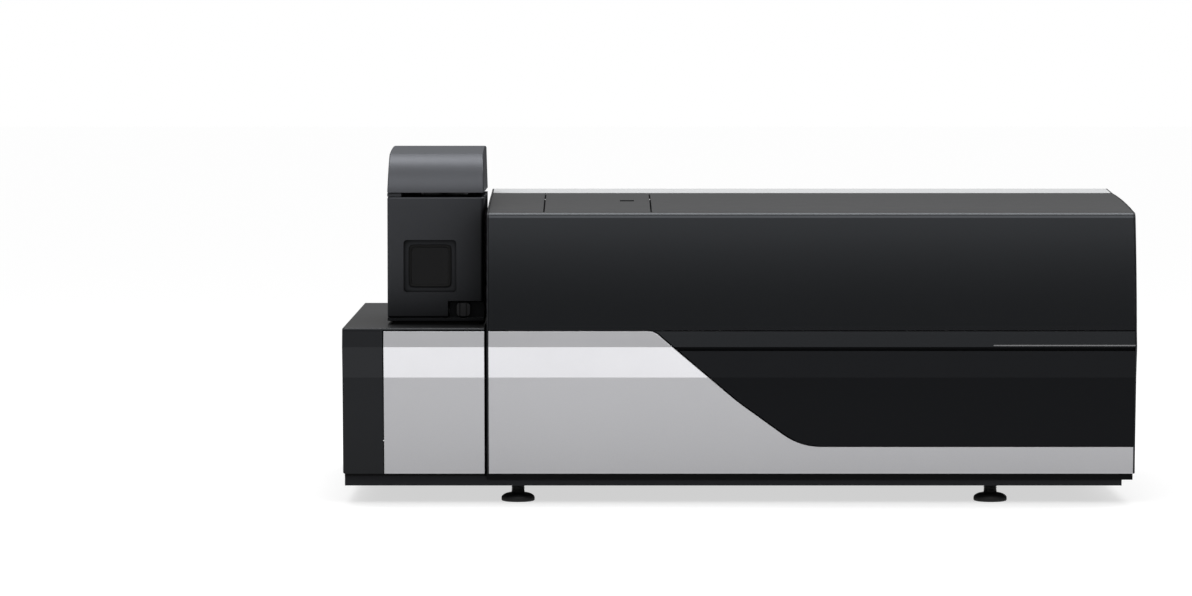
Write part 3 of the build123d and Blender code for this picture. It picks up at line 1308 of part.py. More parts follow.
def stage_knob():
    """Fluted knob that sets the probe's distance."""
    front = stage_front() - FREE_CLEARANCE
    x = probe_x()
    z = stage_shaft_height()
    knob = rod_y(STAGE_KNOB_RADIUS, (front - STAGE_KNOB_LENGTH, front), x, z)
    for index in range(STAGE_KNOB_FLUTES):
        angle = 2 * math.pi * index / STAGE_KNOB_FLUTES
        flute_x = x + STAGE_KNOB_RADIUS * math.cos(angle)
        flute_z = z + STAGE_KNOB_RADIUS * math.sin(angle)
        knob -= rod_y(STAGE_KNOB_FLUTE_RADIUS, (front - STAGE_KNOB_LENGTH, front - SHEET), flute_x, flute_z)
    return knob + rod_y(STAGE_SHAFT_RADIUS, (front, stage_front() + STAGE_SHAFT_ENGAGED), x, z)


def spray_probe():
    """Turned spray probe: flange, neck, union and a fine capillary down to the spray tip."""
    flange_low = TOWER_TOP + STAGE_HEIGHT
    flange_high = flange_low + PROBE_FLANGE_HEIGHT
    neck_high = PROBE_TOP - PROBE_UNION_HEIGHT
    body_low = CHAMBER_TOP - CHAMBER_WALL
    cone_low = body_low - PROBE_NOSE_LENGTH
    outline = Polyline(
        (0, PROBE_TIP_HEIGHT),
        (PROBE_CAPILLARY_RADIUS, PROBE_TIP_HEIGHT),
        (PROBE_CAPILLARY_RADIUS, cone_low),
        (PROBE_BODY_RADIUS, body_low),
        (PROBE_BODY_RADIUS, flange_low),
        (PROBE_FLANGE_RADIUS, flange_low),
        (PROBE_FLANGE_RADIUS, flange_high),
        (PROBE_NECK_RADIUS, flange_high),
        (PROBE_NECK_RADIUS, neck_high),
        (PROBE_UNION_RADIUS, neck_high),
        (PROBE_UNION_RADIUS, PROBE_TOP),
        (0, PROBE_TOP),
        close=True,
    )
    return Pos(probe_x(), probe_y(), 0) * revolve(Plane.XZ * make_face(outline), Axis.Z)


def tower_gasket():
    """Dark rubber pad between the deck and the tower."""
    front = depth(TOWER_SET_BACK)
    return block(
        (TOWER_LEFT + GASKET_INSET, TOWER_RIGHT - GASKET_INSET),
        (front + GASKET_INSET, front + TOWER_DEPTH - GASKET_INSET),
        (DECK_HEIGHT, TOWER_BOTTOM),
    )


def source_frame():
    """Square steel stand that carries the deck and the tower on the source pan."""
    front = depth(TOWER_SET_BACK)
    x_span = (TOWER_LEFT + SOURCE_FRAME_INSET, TOWER_RIGHT - SOURCE_FRAME_INSET)
    y_span = (front + SOURCE_FRAME_INSET, front + TOWER_DEPTH - SOURCE_FRAME_INSET)
    z_span = (PAN_BOTTOM + SHEET_PAN, DECK_HEIGHT - SKIN)
    stand = block(x_span, y_span, z_span)
    stand -= block(
        (x_span[0] + FRAME_WALL, x_span[1] - FRAME_WALL),
        (y_span[0] + FRAME_WALL, y_span[1] - FRAME_WALL),
        z_span,
    )
    window = (z_span[0] + FRAME_BAR, z_span[1] - FRAME_BAR)
    stand -= block((x_span[0] + FRAME_BAR, x_span[1] - FRAME_BAR), y_span, window)
    return stand - block(x_span, (y_span[0] + FRAME_BAR, y_span[1] - FRAME_BAR), window)


# ---- vacuum system and analyser ----

def axis_y():
    """Y of the ion path."""
    return depth(ION_AXIS_SET_BACK)


def manifold_low():
    return ION_AXIS_HEIGHT - MANIFOLD_BELOW_AXIS


def manifold_high():
    return ION_AXIS_HEIGHT + MANIFOLD_ABOVE_AXIS


def partition_places():
    """X of the partitions that divide the vacuum stages."""
    before_first = FIRST_QUAD_LEFT - MANIFOLD_WALL * 2
    before_cell = CELL_LEFT - MANIFOLD_WALL * 2
    return (before_first, before_cell, SECOND_QUAD_LEFT - MANIFOLD_WALL)


def seal_ring(gap):
    """The rectangular ring that the lid's seal fills."""
    x_span = (MANIFOLD_LEFT + SEAL_INSET, MANIFOLD_RIGHT - SEAL_INSET)
    y_span = (axis_y() - MANIFOLD_HALF_DEPTH + SEAL_INSET, axis_y() + MANIFOLD_HALF_DEPTH - SEAL_INSET)
    z_span = (manifold_high() - SEAL_HEIGHT, manifold_high() + gap)
    ring = block(x_span, y_span, z_span)
    return ring - block(
        (x_span[0] + SEAL_WIDTH, x_span[1] - SEAL_WIDTH),
        (y_span[0] + SEAL_WIDTH, y_span[1] - SEAL_WIDTH),
        z_span,
    )


def vacuum_manifold():
    """Long machined vacuum housing, open at the top, with partitions and a pump port."""
    x_span = (MANIFOLD_LEFT, MANIFOLD_RIGHT)
    y_span = (axis_y() - MANIFOLD_HALF_DEPTH, axis_y() + MANIFOLD_HALF_DEPTH)
    body = block(x_span, y_span, (manifold_low(), manifold_high()))
    body -= block(
        (x_span[0] + MANIFOLD_WALL, x_span[1] - MANIFOLD_WALL),
        (y_span[0] + MANIFOLD_WALL, y_span[1] - MANIFOLD_WALL),
        (manifold_low() + MANIFOLD_WALL, manifold_high()),
    )
    for x in partition_places():
        body += block((x, x + MANIFOLD_PARTITION), y_span, (manifold_low(), manifold_high()))
        body -= rod_x(LENS_RADIUS / 2, (x, x + MANIFOLD_PARTITION), axis_y(), ION_AXIS_HEIGHT)
    body -= rod_x(LINE_RADIUS, (x_span[0], x_span[0] + MANIFOLD_WALL), axis_y(), ION_AXIS_HEIGHT)
    floor_span = (manifold_low(), manifold_low() + MANIFOLD_WALL)
    body -= rod_z(PUMP_RADIUS - MANIFOLD_WALL, floor_span, PUMP_X, axis_y())
    return body - seal_ring(SKIN)


def manifold_seal():
    return seal_ring(0)


def manifold_lid():
    """Ribbed lid over the vacuum housing."""
    x_span = (MANIFOLD_LEFT - LID_OVERHANG, MANIFOLD_RIGHT + LID_OVERHANG)
    y_low = axis_y() - MANIFOLD_HALF_DEPTH - LID_OVERHANG
    y_high = axis_y() + MANIFOLD_HALF_DEPTH + LID_OVERHANG
    low = manifold_high()
    high = low + LID_THICKNESS
    lid = block(x_span, (y_low, y_high), (low, high))
    pocket_low = (low + high) / 2
    pitch = (x_span[1] - x_span[0] - LID_RIB) / LID_POCKETS
    for step in range(LID_POCKETS):
        left = x_span[0] + LID_RIB + step * pitch
        pocket = block(
            (left, left + pitch - LID_RIB),
            (y_low + LID_RIB * 2, y_high - LID_RIB * 2),
            (pocket_low, high),
        )
        lid -= fillet(pocket.edges().filter_by(Axis.Z), LID_RIB)
    return lid


def leg_places():
    """Places of the four posts under the vacuum housing."""
    reach = MANIFOLD_HALF_DEPTH - FOOT_BOSS_RADIUS
    xs = (MANIFOLD_LEFT + LEG_INSET, MANIFOLD_RIGHT - LEG_INSET)
    return [(x, y) for x in xs for y in (axis_y() - reach, axis_y() + reach)]


def rod_set(left, length, rod_radius, field_radius):
    """Four parallel rods in the half-round grooves of two holders that stand on the housing's floor."""
    solids = []
    reach = rod_radius + field_radius
    sides = ((1, 0), (0, 1), (-1, 0), (0, -1))
    centres = [(axis_y() + dy * reach, ION_AXIS_HEIGHT + dz * reach) for dy, dz in sides]
    for y, z in centres:
        solids.append(rod_x(rod_radius, (left, left + length), y, z))
    floor = manifold_low() + MANIFOLD_WALL
    for x in (left + HOLDER_THICKNESS, left + length - 2 * HOLDER_THICKNESS):
        span = (x, x + HOLDER_THICKNESS)
        holder = rod_x(HOLDER_RADIUS, span, axis_y(), ION_AXIS_HEIGHT)
        foot_span = (axis_y() - HOLDER_RADIUS / 2, axis_y() + HOLDER_RADIUS / 2)
        holder += block(span, foot_span, (floor, ION_AXIS_HEIGHT))
        holder -= rod_x(reach, span, axis_y(), ION_AXIS_HEIGHT)
        for y, z in centres:
            holder -= rod_x(rod_radius, span, y, z)
        solids += list(holder.solids())
    return Compound(solids)


def collision_cell():
    """Closed cell with a bore for the ions and two feet."""
    span = (CELL_LEFT, CELL_LEFT + CELL_LENGTH)
    floor = manifold_low() + MANIFOLD_WALL
    cell = rod_x(HOLDER_RADIUS, span, axis_y(), ION_AXIS_HEIGHT)
    for x in (span[0] + HOLDER_THICKNESS, span[1] - 2 * HOLDER_THICKNESS):
        cell += block(
            (x, x + HOLDER_THICKNESS),
            (axis_y() - HOLDER_RADIUS / 2, axis_y() + HOLDER_RADIUS / 2),
            (floor, ION_AXIS_HEIGHT),
        )
    return cell - rod_x(QUAD_FIELD_RADIUS, span, axis_y(), ION_AXIS_HEIGHT)


def lens_plates():
    """Thin lens discs on the partitions."""
    plates = []
    for x in partition_places():
        span = (x - LENS_THICKNESS, x)
        plate = rod_x(LENS_RADIUS, span, axis_y(), ION_AXIS_HEIGHT)
        plates.append(plate - rod_x(LENS_HOLE_RADIUS, span, axis_y(), ION_AXIS_HEIGHT))
    return Compound(plates)


def ion_detector():
    """Detector with a funnel mouth that faces the second analysing rods."""
    floor = manifold_low() + MANIFOLD_WALL
    span = (DETECTOR_LEFT, DETECTOR_LEFT + DETECTOR_LENGTH)
    body = rod_x(DETECTOR_RADIUS, span, axis_y(), ION_AXIS_HEIGHT)
    mouth = Pos(span[0], axis_y(), ION_AXIS_HEIGHT) * Rot(0, 90, 0) * Cone(
        DETECTOR_RADIUS - SHEET,
        LENS_HOLE_RADIUS,
        DETECTOR_LENGTH / 2,
        align=(Align.CENTER, Align.CENTER, Align.MIN),
    )
    post = block(
        (span[1] - HOLDER_THICKNESS, span[1]),
        (axis_y() - DETECTOR_RADIUS / 2, axis_y() + DETECTOR_RADIUS / 2),
        (floor, ION_AXIS_HEIGHT),
    )
    return body + post - mouth


def turbo_pump():
    """Finned turbomolecular pump that hangs from the vacuum housing by its flange."""
    top = manifold_low()
    low = top - PUMP_HEIGHT
    points = [(0, top), (PUMP_FLANGE_RADIUS, top), (PUMP_FLANGE_RADIUS, top - PUMP_FLANGE_HEIGHT)]
    z = top - PUMP_FLANGE_HEIGHT
    while z - PUMP_FIN_PITCH > low:
        points.append((PUMP_RADIUS - PUMP_FIN_DEPTH, z))
        points.append((PUMP_RADIUS - PUMP_FIN_DEPTH, z - PUMP_FIN_PITCH / 2))
        points.append((PUMP_RADIUS, z - PUMP_FIN_PITCH / 2))
        points.append((PUMP_RADIUS, z - PUMP_FIN_PITCH))
        z -= PUMP_FIN_PITCH
    points += [(PUMP_RADIUS, low), (0, low)]
    pump = revolve(Plane.XZ * make_face(Polyline(*points, close=True)), Axis.Z)
    outlet = rod_y(PUMP_PORT_RADIUS, (0, PUMP_FLANGE_RADIUS), 0, low + PUMP_PORT_RADIUS + SKIN)
    return Pos(PUMP_X, axis_y(), 0) * (pump + outlet)


# ---- electronics and frame ----

def finned_box(left, width, height):
    """Closed electronics housing with cooling fins along its top."""
    low = PAN_BOTTOM + SHEET_PAN
    y_span = (depth(BOX_FRONT), depth(BOX_BACK))
    case = block((left, left + width), y_span, (low, low + height))
    x = left + BOX_FIN_PITCH - BOX_FIN_WIDTH
    while x + BOX_FIN_WIDTH < left + width:
        case -= block((x, x + BOX_FIN_WIDTH), y_span, (low + height - BOX_FIN_DEPTH, low + height))
        x += BOX_FIN_PITCH
    return case


def rf_generator():
    return finned_box(RF_LEFT, RF_WIDTH, RF_HEIGHT)


def power_supply():
    return finned_box(SUPPLY_LEFT, SUPPLY_WIDTH, SUPPLY_HEIGHT)


def main_frame():
    """Welded frame of square bars that carries the covers and the vacuum housing."""
    left = SKIN_LEFT + FREE_CLEARANCE
    right = SKIN_RIGHT - FREE_CLEARANCE
    front = depth(FRAME_FRONT)
    back = depth(FRAME_BACK)
    middle = axis_y() + MANIFOLD_HALF_DEPTH
    rail_low = PAN_BOTTOM + SHEET_PAN + FRAME_RAIL_RISE
    frame = bar_x((left, right), front, FRAME_TOP - FRAME_BAR)
    frame += bar_x((left, right), back, FRAME_TOP - FRAME_BAR)
    for y in (front, middle, back):
        frame += bar_x((left, right), y, rail_low)
    for x in (left, right - FRAME_BAR):
        for z in (rail_low, FRAME_TOP - FRAME_BAR):
            frame += block((x, x + FRAME_BAR), (front, back), (z, z + FRAME_BAR))
        for y in (front, back):
            frame += block((x, x + FRAME_BAR), (y, y + FRAME_BAR), (PANEL_BOTTOM, FRAME_TOP))
    for x, y in leg_places():
        bar_span = (x - FRAME_BAR / 2, x + FRAME_BAR / 2)
        frame += block(bar_span, (front, middle), (rail_low, rail_low + FRAME_BAR))
        frame += rod_z(LEG_RADIUS, (rail_low, manifold_low()), x, y)
    return frame


def bar_x(x_span, y, z):
    """A square bar of the frame along X."""
    return block(x_span, (y, y + FRAME_BAR), (z, z + FRAME_BAR))


# ---- the nodes ----

def build_nodes():
    """Every piece of the instrument by its node name."""
    nodes = {
        "main_silver_panel": main_silver_panel(),
        "belt_strip": belt_strip(),
        "belt_trim": belt_trim(),
        "lower_front_panel": lower_front_panel(),
        "upper_front_cover": upper_front_cover(),
        "top_cover_left": top_cover_left(),
        "top_cover_right": top_cover_right(),
        "top_hatch": top_hatch(),
        "rear_top_cover": rear_top_cover(),
        "right_side_cover": right_side_cover(),
        "left_side_cover": left_side_cover(),
        "rear_panel": rear_panel(),
        "power_inlet": power_inlet(),
        "switch_frame": switch_frame(),
        "power_switch": power_switch(),
        "data_ports": data_ports(),
        "vacuum_ports": Compound([vacuum_port(x) for x in port_centres()]),
        "gas_fittings": gas_fittings(),
        "fan_frames": fan_frames(),
        "fan_rotor_left": fan_rotor(FAN_LEFT_X),
        "fan_rotor_right": fan_rotor(FAN_RIGHT_X),
        "cover_screws": cover_screws(),
        "main_base_pan": main_base_pan(),
        "main_plinth": main_plinth(),
        "foot_locknuts": foot_locknuts(),
        "source_pan": source_pan(),
        "source_plinth": source_plinth(),
        "source_cover": source_cover(),
        "source_front_panel": source_front_panel(),
        "source_frame": source_frame(),
        "tower_gasket": tower_gasket(),
        "tower_housing": tower_housing(),
        "source_door": source_door(),
        "hinge_pins": hinge_pins(),
        "door_latch": door_latch(),
        "sight_window": sight_window(),
        "probe_cover": probe_cover(),
        "source_chamber": source_chamber(),
        "inlet_cone": inlet_cone(),
        "inlet_line": inlet_line(),
        "probe_stage": probe_stage(),
        "stage_knob": stage_knob(),
        "spray_probe": spray_probe(),
        "vacuum_manifold": vacuum_manifold(),
        "manifold_lid": manifold_lid(),
        "manifold_seal": manifold_seal(),
        "ion_guide": rod_set(GUIDE_LEFT, GUIDE_LENGTH, GUIDE_ROD_RADIUS, GUIDE_FIELD_RADIUS),
        "analysing_rods": Compound(
            list(rod_set(FIRST_QUAD_LEFT, QUAD_LENGTH, QUAD_ROD_RADIUS, QUAD_FIELD_RADIUS).solids())
            + list(rod_set(SECOND_QUAD_LEFT, QUAD_LENGTH, QUAD_ROD_RADIUS, QUAD_FIELD_RADIUS).solids())
        ),
        "collision_cell": collision_cell(),
        "lens_plates": lens_plates(),
        "ion_detector": ion_detector(),
        "turbo_pump": turbo_pump(),
        "rf_generator": rf_generator(),
        "power_supply": power_supply(),
        "main_frame": main_frame(),
    }
    return nodes


def main():
    os.makedirs("parts", exist_ok=True)
    nodes = build_nodes()
    for name, (x, y) in foot_places().items():
        nodes[name] = levelling_foot(x, y)
    for name, shape in nodes.items():
        export_step(shape, f"parts/{name}.step")


main()
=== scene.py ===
"""Dresses the solids of a bench mass spectrometer: finishes, softened edges, small fittings, a studio.

Lengths are in metres in the part's own frame: +X to the right along the front, +Y to the back, +Z up.
"""

import json
import math

import bpy
import numpy as np
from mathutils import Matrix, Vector


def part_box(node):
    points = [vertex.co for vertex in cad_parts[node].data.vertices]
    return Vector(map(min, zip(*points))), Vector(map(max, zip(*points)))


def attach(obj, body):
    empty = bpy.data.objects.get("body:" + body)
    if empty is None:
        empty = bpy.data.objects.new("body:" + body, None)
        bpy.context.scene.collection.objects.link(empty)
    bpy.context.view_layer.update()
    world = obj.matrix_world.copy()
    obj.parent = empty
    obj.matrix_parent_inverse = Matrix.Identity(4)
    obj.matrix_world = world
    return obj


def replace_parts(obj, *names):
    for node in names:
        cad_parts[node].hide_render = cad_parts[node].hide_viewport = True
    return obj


bl_info = {
    "name": "Bench mass spectrometer",
    "version": (1, 0, 0),
    "blender": (4, 5, 0),
    "location": "View3D > Sidebar > Spectrometer",
    "description": "Finishes and small fittings of a bench mass spectrometer, and a studio for it",
    "category": "Object",
}

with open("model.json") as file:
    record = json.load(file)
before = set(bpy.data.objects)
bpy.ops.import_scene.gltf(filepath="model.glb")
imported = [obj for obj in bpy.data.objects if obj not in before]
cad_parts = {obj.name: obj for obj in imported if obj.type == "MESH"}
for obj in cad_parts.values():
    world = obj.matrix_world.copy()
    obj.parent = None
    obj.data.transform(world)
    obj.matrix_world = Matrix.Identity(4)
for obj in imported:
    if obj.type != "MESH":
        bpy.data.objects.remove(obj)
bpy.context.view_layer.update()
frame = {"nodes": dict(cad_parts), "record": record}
SLOT_OF = {part["node"]: part["material_slot"] for part in frame["record"]["subparts"]}
BODY_OF = {
    node: body for body, nodes in frame["record"]["behaviour"]["bodies"].items() for node in nodes
}
FRONT_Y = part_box("main_silver_panel")[0].y

EDGE_SAMPLES = 4
SKY_SAMPLES = 12
DUST_COLOUR = (0.35, 0.34, 0.32, 1)

SCREWS_PER_ROW = 5
SCREW_HEAD_RADIUS = 0.0045
PAD_HEIGHT = 0.0132
STEM_SHARE = 0.4
STEM_TIP = 0.0008
COLLETS = 3
CONTACTS = 8
CONTACT_PITCH = 0.00102
CONTACT_SET_BACK = 0.004
CONTACT_RISE = 0.0046
SEAL_SHARE = 0.70
SEAL_WIDTH = 0.0016
SEAL_THICKNESS = 0.0012
SEAL_DEPTH = 0.0012

KEY_LAMP = {"place": (0.0, -2.4, 2.6), "target": (0.0, -0.2, 0.3), "size": (3.6, 1.4)}
TOP_LAMP = {"place": (0.0, 0.2, 2.6), "target": (0.0, 0.0, 0.3), "size": (3.4, 0.8)}
FLOOR_REACH = 30.0
FLOOR_GLOW = 0.62
FLOOR_COLOUR = (0.55, 0.55, 0.55, 1)
FLOOR_COLOUR_MIRRORED = (0.20, 0.20, 0.20, 1)
FLOOR_MIRROR_LEVELS = (
    (0.0, 0.50), (0.34, 0.62), (0.48, 1.0), (0.60, 1.0), (0.74, 0.14), (1.0, 0.08),
)
ROOM_FRONT_LEVELS = ((0.0, 0.16), (0.20, 0.23), (0.36, 0.52), (0.5, 1.0), (1.0, 1.0))
ROOM_REAR_LEVELS = ((0.0, 0.06), (0.10, 0.12), (0.30, 0.40), (0.5, 1.0), (1.0, 1.0))
ROOM_SIDE_BLEND = 0.3


# ---- settings -------------------------------------------------------------------------------------


class FinishSettings(bpy.types.PropertyGroup):
    """Colours of the finishes."""

    silver: bpy.props.FloatVectorProperty(
        name="Silver", description="Metallic paint of the sweep", subtype="COLOR", size=3, min=0, max=1,
        default=(0.92, 0.92, 0.95),
    )
    gloss_black: bpy.props.FloatVectorProperty(
        name="Gloss black", description="Mouldings of the front", subtype="COLOR", size=3, min=0, max=1,
        default=(0.0030, 0.0031, 0.0037),
    )
    charcoal: bpy.props.FloatVectorProperty(
        name="Charcoal", description="Satin paint of the covers", subtype="COLOR", size=3, min=0, max=1,
        default=(0.0090, 0.0094, 0.0110),
    )
    tower_grey: bpy.props.FloatVectorProperty(
        name="Tower grey", description="Metallic paint of the source tower", subtype="COLOR", size=3,
        min=0, max=1, default=(0.090, 0.093, 0.102),
    )
    light_grey: bpy.props.FloatVectorProperty(
        name="Light grey", description="Paint of the rear top cover", subtype="COLOR", size=3, min=0, max=1,
        default=(0.62, 0.63, 0.64),
    )
    rear_grey: bpy.props.FloatVectorProperty(
        name="Rear grey", description="Powder coat of the rear panel", subtype="COLOR", size=3, min=0, max=1,
        default=(0.50, 0.51, 0.52),
    )


class FittingSettings(bpy.types.PropertyGroup):
    """Sizes of the small fittings."""

    thread_pitch: bpy.props.FloatProperty(
        name="Thread pitch", description="Rise of the feet's thread in one turn", default=0.0025, min=0.001,
        max=0.005, unit="LENGTH",
    )
    thread_depth: bpy.props.FloatProperty(
        name="Thread depth", description="Depth of the feet's thread", default=0.0011, min=0.0002, max=0.003,
        unit="LENGTH",
    )
    bezel_width: bpy.props.FloatProperty(
        name="Bezel width", description="Width of the rubber round the sight window", default=0.0042,
        min=0.001, max=0.01, unit="LENGTH",
    )
    socket_width: bpy.props.FloatProperty(
        name="Socket width", description="Across the flats of the cap screws' sockets", default=0.0045,
        min=0.001, max=0.008, unit="LENGTH",
    )


class StudioSettings(bpy.types.PropertyGroup):
    """Camera and lamps."""

    distance: bpy.props.FloatProperty(
        name="Camera distance", description="From the front of the instrument to the camera", default=6.5,
        min=2, max=20, unit="LENGTH",
    )
    side: bpy.props.FloatProperty(
        name="Camera side", description="Camera's place along the front", default=-0.213, unit="LENGTH",
    )
    height: bpy.props.FloatProperty(
        name="Camera height", description="Camera's height above the bench", default=0.6833, unit="LENGTH",
    )
    tilt: bpy.props.FloatProperty(
        name="Camera tilt", description="How far the camera looks down", default=math.radians(3.2969),
        subtype="ANGLE",
    )
    lens: bpy.props.FloatProperty(
        name="Lens", description="Focal length for a 36 mm wide picture, in millimetres", default=132.64,
        min=20, max=400,
    )
    key_power: bpy.props.FloatProperty(
        name="Key power", description="Lamp over the front", default=16.0, min=0, max=500, subtype="POWER",
    )
    top_power: bpy.props.FloatProperty(
        name="Top power", description="Lamp straight above", default=34.0, min=0, max=500, subtype="POWER",
    )
    room_light: bpy.props.FloatProperty(
        name="Room light", description="Strength of the room's own light", default=0.75, min=0, max=3,
    )


SETTINGS = (FinishSettings, FittingSettings, StudioSettings)


# ---- meshes ---------------------------------------------------------------------------------------


def enclosed_volume(points, faces):
    """Sum over the faces' triangles of one sixth of the corners' triple product."""
    total = 0.0
    for corners in faces:
        c = points[np.asarray(corners)]
        total += float(np.einsum("ij,ij->", np.cross(c[1:-1], c[2:]), np.broadcast_to(c[0], c[1:-1].shape)))
    return total / 6


def add_mesh(name, points, faces, smooth_angle=35):
    """Makes an object of points and faces, with its faces outwards."""
    if enclosed_volume(points, faces) < 0:
        faces = [list(reversed(face)) for face in faces]
    mesh = bpy.data.meshes.new(name)
    mesh.from_pydata(points, [], faces)
    mesh.polygons.foreach_set("use_smooth", np.ones(len(mesh.polygons), bool))
    mesh.set_sharp_from_angle(angle=math.radians(smooth_angle))
    mesh.update()
    piece = bpy.data.objects.new(name, mesh)
    bpy.context.scene.collection.objects.link(piece)
    return piece


def tube_faces(rings, around, closed):
    """Quads between rings of points; the last ring joins the first, or both ends get one flat face."""
    ring = np.arange(rings if closed else rings - 1)[:, None] * around
    step = np.arange(around)[None, :]
    nxt = (step + 1) % around
    up = (ring + around) % (rings * around)
    quads = np.stack([ring + step, ring + nxt, up + nxt, up + step], axis=-1).reshape(-1, 4).tolist()
    if not closed:
        quads.append(list(range(around))[::-1])
        quads.append(list(range((rings - 1) * around, rings * around)))
    return quads


def axis_frame(axis):
    """Three unit vectors, the last along the axis."""
    w = np.array(axis, float) / np.linalg.norm(axis)
    side = np.array((0.0, 0.0, 1.0)) if abs(w[2]) < 0.9 else np.array((1.0, 0.0, 0.0))
    u = np.cross(side, w)
    u /= np.linalg.norm(u)
    return u, np.cross(w, u), w


def joined(parts):
    """One list of points and one of faces from several."""
    points, faces, count = [], [], 0
    for part_points, part_faces in parts:
        points.append(part_points)
        faces += [[index + count for index in face] for face in part_faces]
        count += len(part_points)
    return np.concatenate(points), faces


def settle(piece, body, slot):
    """Gives the piece its finish and lets it move with its body."""
    piece.data.materials.clear()
    piece.data.materials.append(FINISHES[slot]())
    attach(piece, body)
    return piece


# ---- shader groups --------------------------------------------------------------------------------


def new_group(name, inputs, outputs):
    """An empty shader group with its sockets: (group, input node, output node)."""
    group = bpy.data.node_groups.new(name, "ShaderNodeTree")
    for label, kind, default in inputs:
        socket = group.interface.new_socket(label, in_out="INPUT", socket_type=kind)
        if default is not None:
            socket.default_value = default
    for label, kind in outputs:
        group.interface.new_socket(label, in_out="OUTPUT", socket_type=kind)
    return group, group.nodes.new("NodeGroupInput"), group.nodes.new("NodeGroupOutput")


def math_node(tree, operation, first, second):
    """A Math node; each operand is a socket or a number."""
    node = tree.nodes.new("ShaderNodeMath")
    node.operation = operation
    for index, operand in enumerate((first, second)):
        if isinstance(operand, (int, float)):
            node.inputs[index].default_value = operand
        else:
            tree.links.new(operand, node.inputs[index])
    return node.outputs[0]


def noise(tree, vector, scale, detail=3.0, roughness=0.5):
    """A Noise texture on a vector; scale is a socket or a number."""
    node = tree.nodes.new("ShaderNodeTexNoise")
    node.inputs["Detail"].default_value = detail
    node.inputs["Roughness"].default_value = roughness
    tree.links.new(vector, node.inputs["Vector"])
    if isinstance(scale, (int, float)):
        node.inputs["Scale"].default_value = scale
    else:
        tree.links.new(scale, node.inputs["Scale"])
    return node.outputs["Fac"]


def grain_group():
    """Fine grain: Height is noise at Scale; Shade is 1 plus Amount times the noise about its mean."""
    group, entry, leave = new_group(
        "Fine grain",
        (
            ("Vector", "NodeSocketVector", None),
            ("Scale", "NodeSocketFloat", 900.0),
            ("Amount", "NodeSocketFloat", 0.1),
        ),
        (("Height", "NodeSocketFloat"), ("Shade", "NodeSocketFloat")),
    )
    fine = noise(group, entry.outputs["Vector"], entry.outputs["Scale"], detail=2.0)
    offset = math_node(group, "SUBTRACT", fine, 0.5)
    swing = math_node(group, "MULTIPLY", offset, entry.outputs["Amount"])
    group.links.new(fine, leave.inputs["Height"])
    group.links.new(math_node(group, "ADD", swing, 1.0), leave.inputs["Shade"])
    return group


def smudge_group():
    """Handling marks: Roughness is Base plus Amount times two broad noises multiplied together."""
    group, entry, leave = new_group(
        "Handling marks",
        (
            ("Vector", "NodeSocketVector", None),
            ("Base", "NodeSocketFloat", 0.3),
            ("Amount", "NodeSocketFloat", 0.06),
        ),
        (("Roughness", "NodeSocketFloat"),),
    )
    broad = noise(group, entry.outputs["Vector"], 5.0, detail=5.0, roughness=0.6)
    close = noise(group, entry.outputs["Vector"], 38.0, detail=4.0, roughness=0.65)
    both = math_node(group, "MULTIPLY", broad, close)
    swing = math_node(group, "MULTIPLY", both, entry.outputs["Amount"])
    group.links.new(math_node(group, "ADD", swing, entry.outputs["Base"]), leave.inputs["Roughness"])
    return group


def dust_group():
    """Dust: Mask is how far the surface faces up, to the fourth power, times a noise and Amount."""
    group, entry, leave = new_group(
        "Settled dust",
        (("Vector", "NodeSocketVector", None), ("Amount", "NodeSocketFloat", 0.1)),
        (("Mask", "NodeSocketFloat"),),
    )
    geometry = group.nodes.new("ShaderNodeNewGeometry")
    split = group.nodes.new("ShaderNodeSeparateXYZ")
    group.links.new(geometry.outputs["Normal"], split.inputs[0])
    up = math_node(group, "POWER", math_node(group, "MAXIMUM", split.outputs["Z"], 0.0), 4.0)
    specks = noise(group, entry.outputs["Vector"], 60.0, detail=6.0, roughness=0.7)
    swing = math_node(group, "MULTIPLY", specks, entry.outputs["Amount"])
    group.links.new(math_node(group, "MULTIPLY", up, swing), leave.inputs["Mask"])
    return group


def crevice_group():
    """Painted shade: Shade is the share of open sky within Reach, to the power Depth; the finishes multiply
    their colour by it, which paints crevices and places near other surfaces darker.
    """
    group, entry, leave = new_group(
        "Crevice shade",
        (("Reach", "NodeSocketFloat", 0.03), ("Depth", "NodeSocketFloat", 1.5)),
        (("Shade", "NodeSocketFloat"),),
    )
    sky = group.nodes.new("ShaderNodeAmbientOcclusion")
    sky.samples = SKY_SAMPLES
    group.links.new(entry.outputs["Reach"], sky.inputs["Distance"])
    shade = math_node(group, "POWER", sky.outputs["AO"], entry.outputs["Depth"])
    group.links.new(shade, leave.inputs["Shade"])
    return group


GROUPS = {}


def shared_group(name, build):
    """The group of that name, built the first time that a finish asks for it."""
    if name not in GROUPS:
        GROUPS[name] = build()
    return GROUPS[name]


def place_group(tree, group, vector, **values):
    """A group node with its own values, fed with the vector unless that is None."""
    node = tree.nodes.new("ShaderNodeGroup")
    node.node_tree = group
    if vector is not None:
        tree.links.new(vector, node.inputs["Vector"])
    for label, value in values.items():
        node.inputs[label].default_value = value
    return node


# ---- finishes -------------------------------------------------------------------------------------


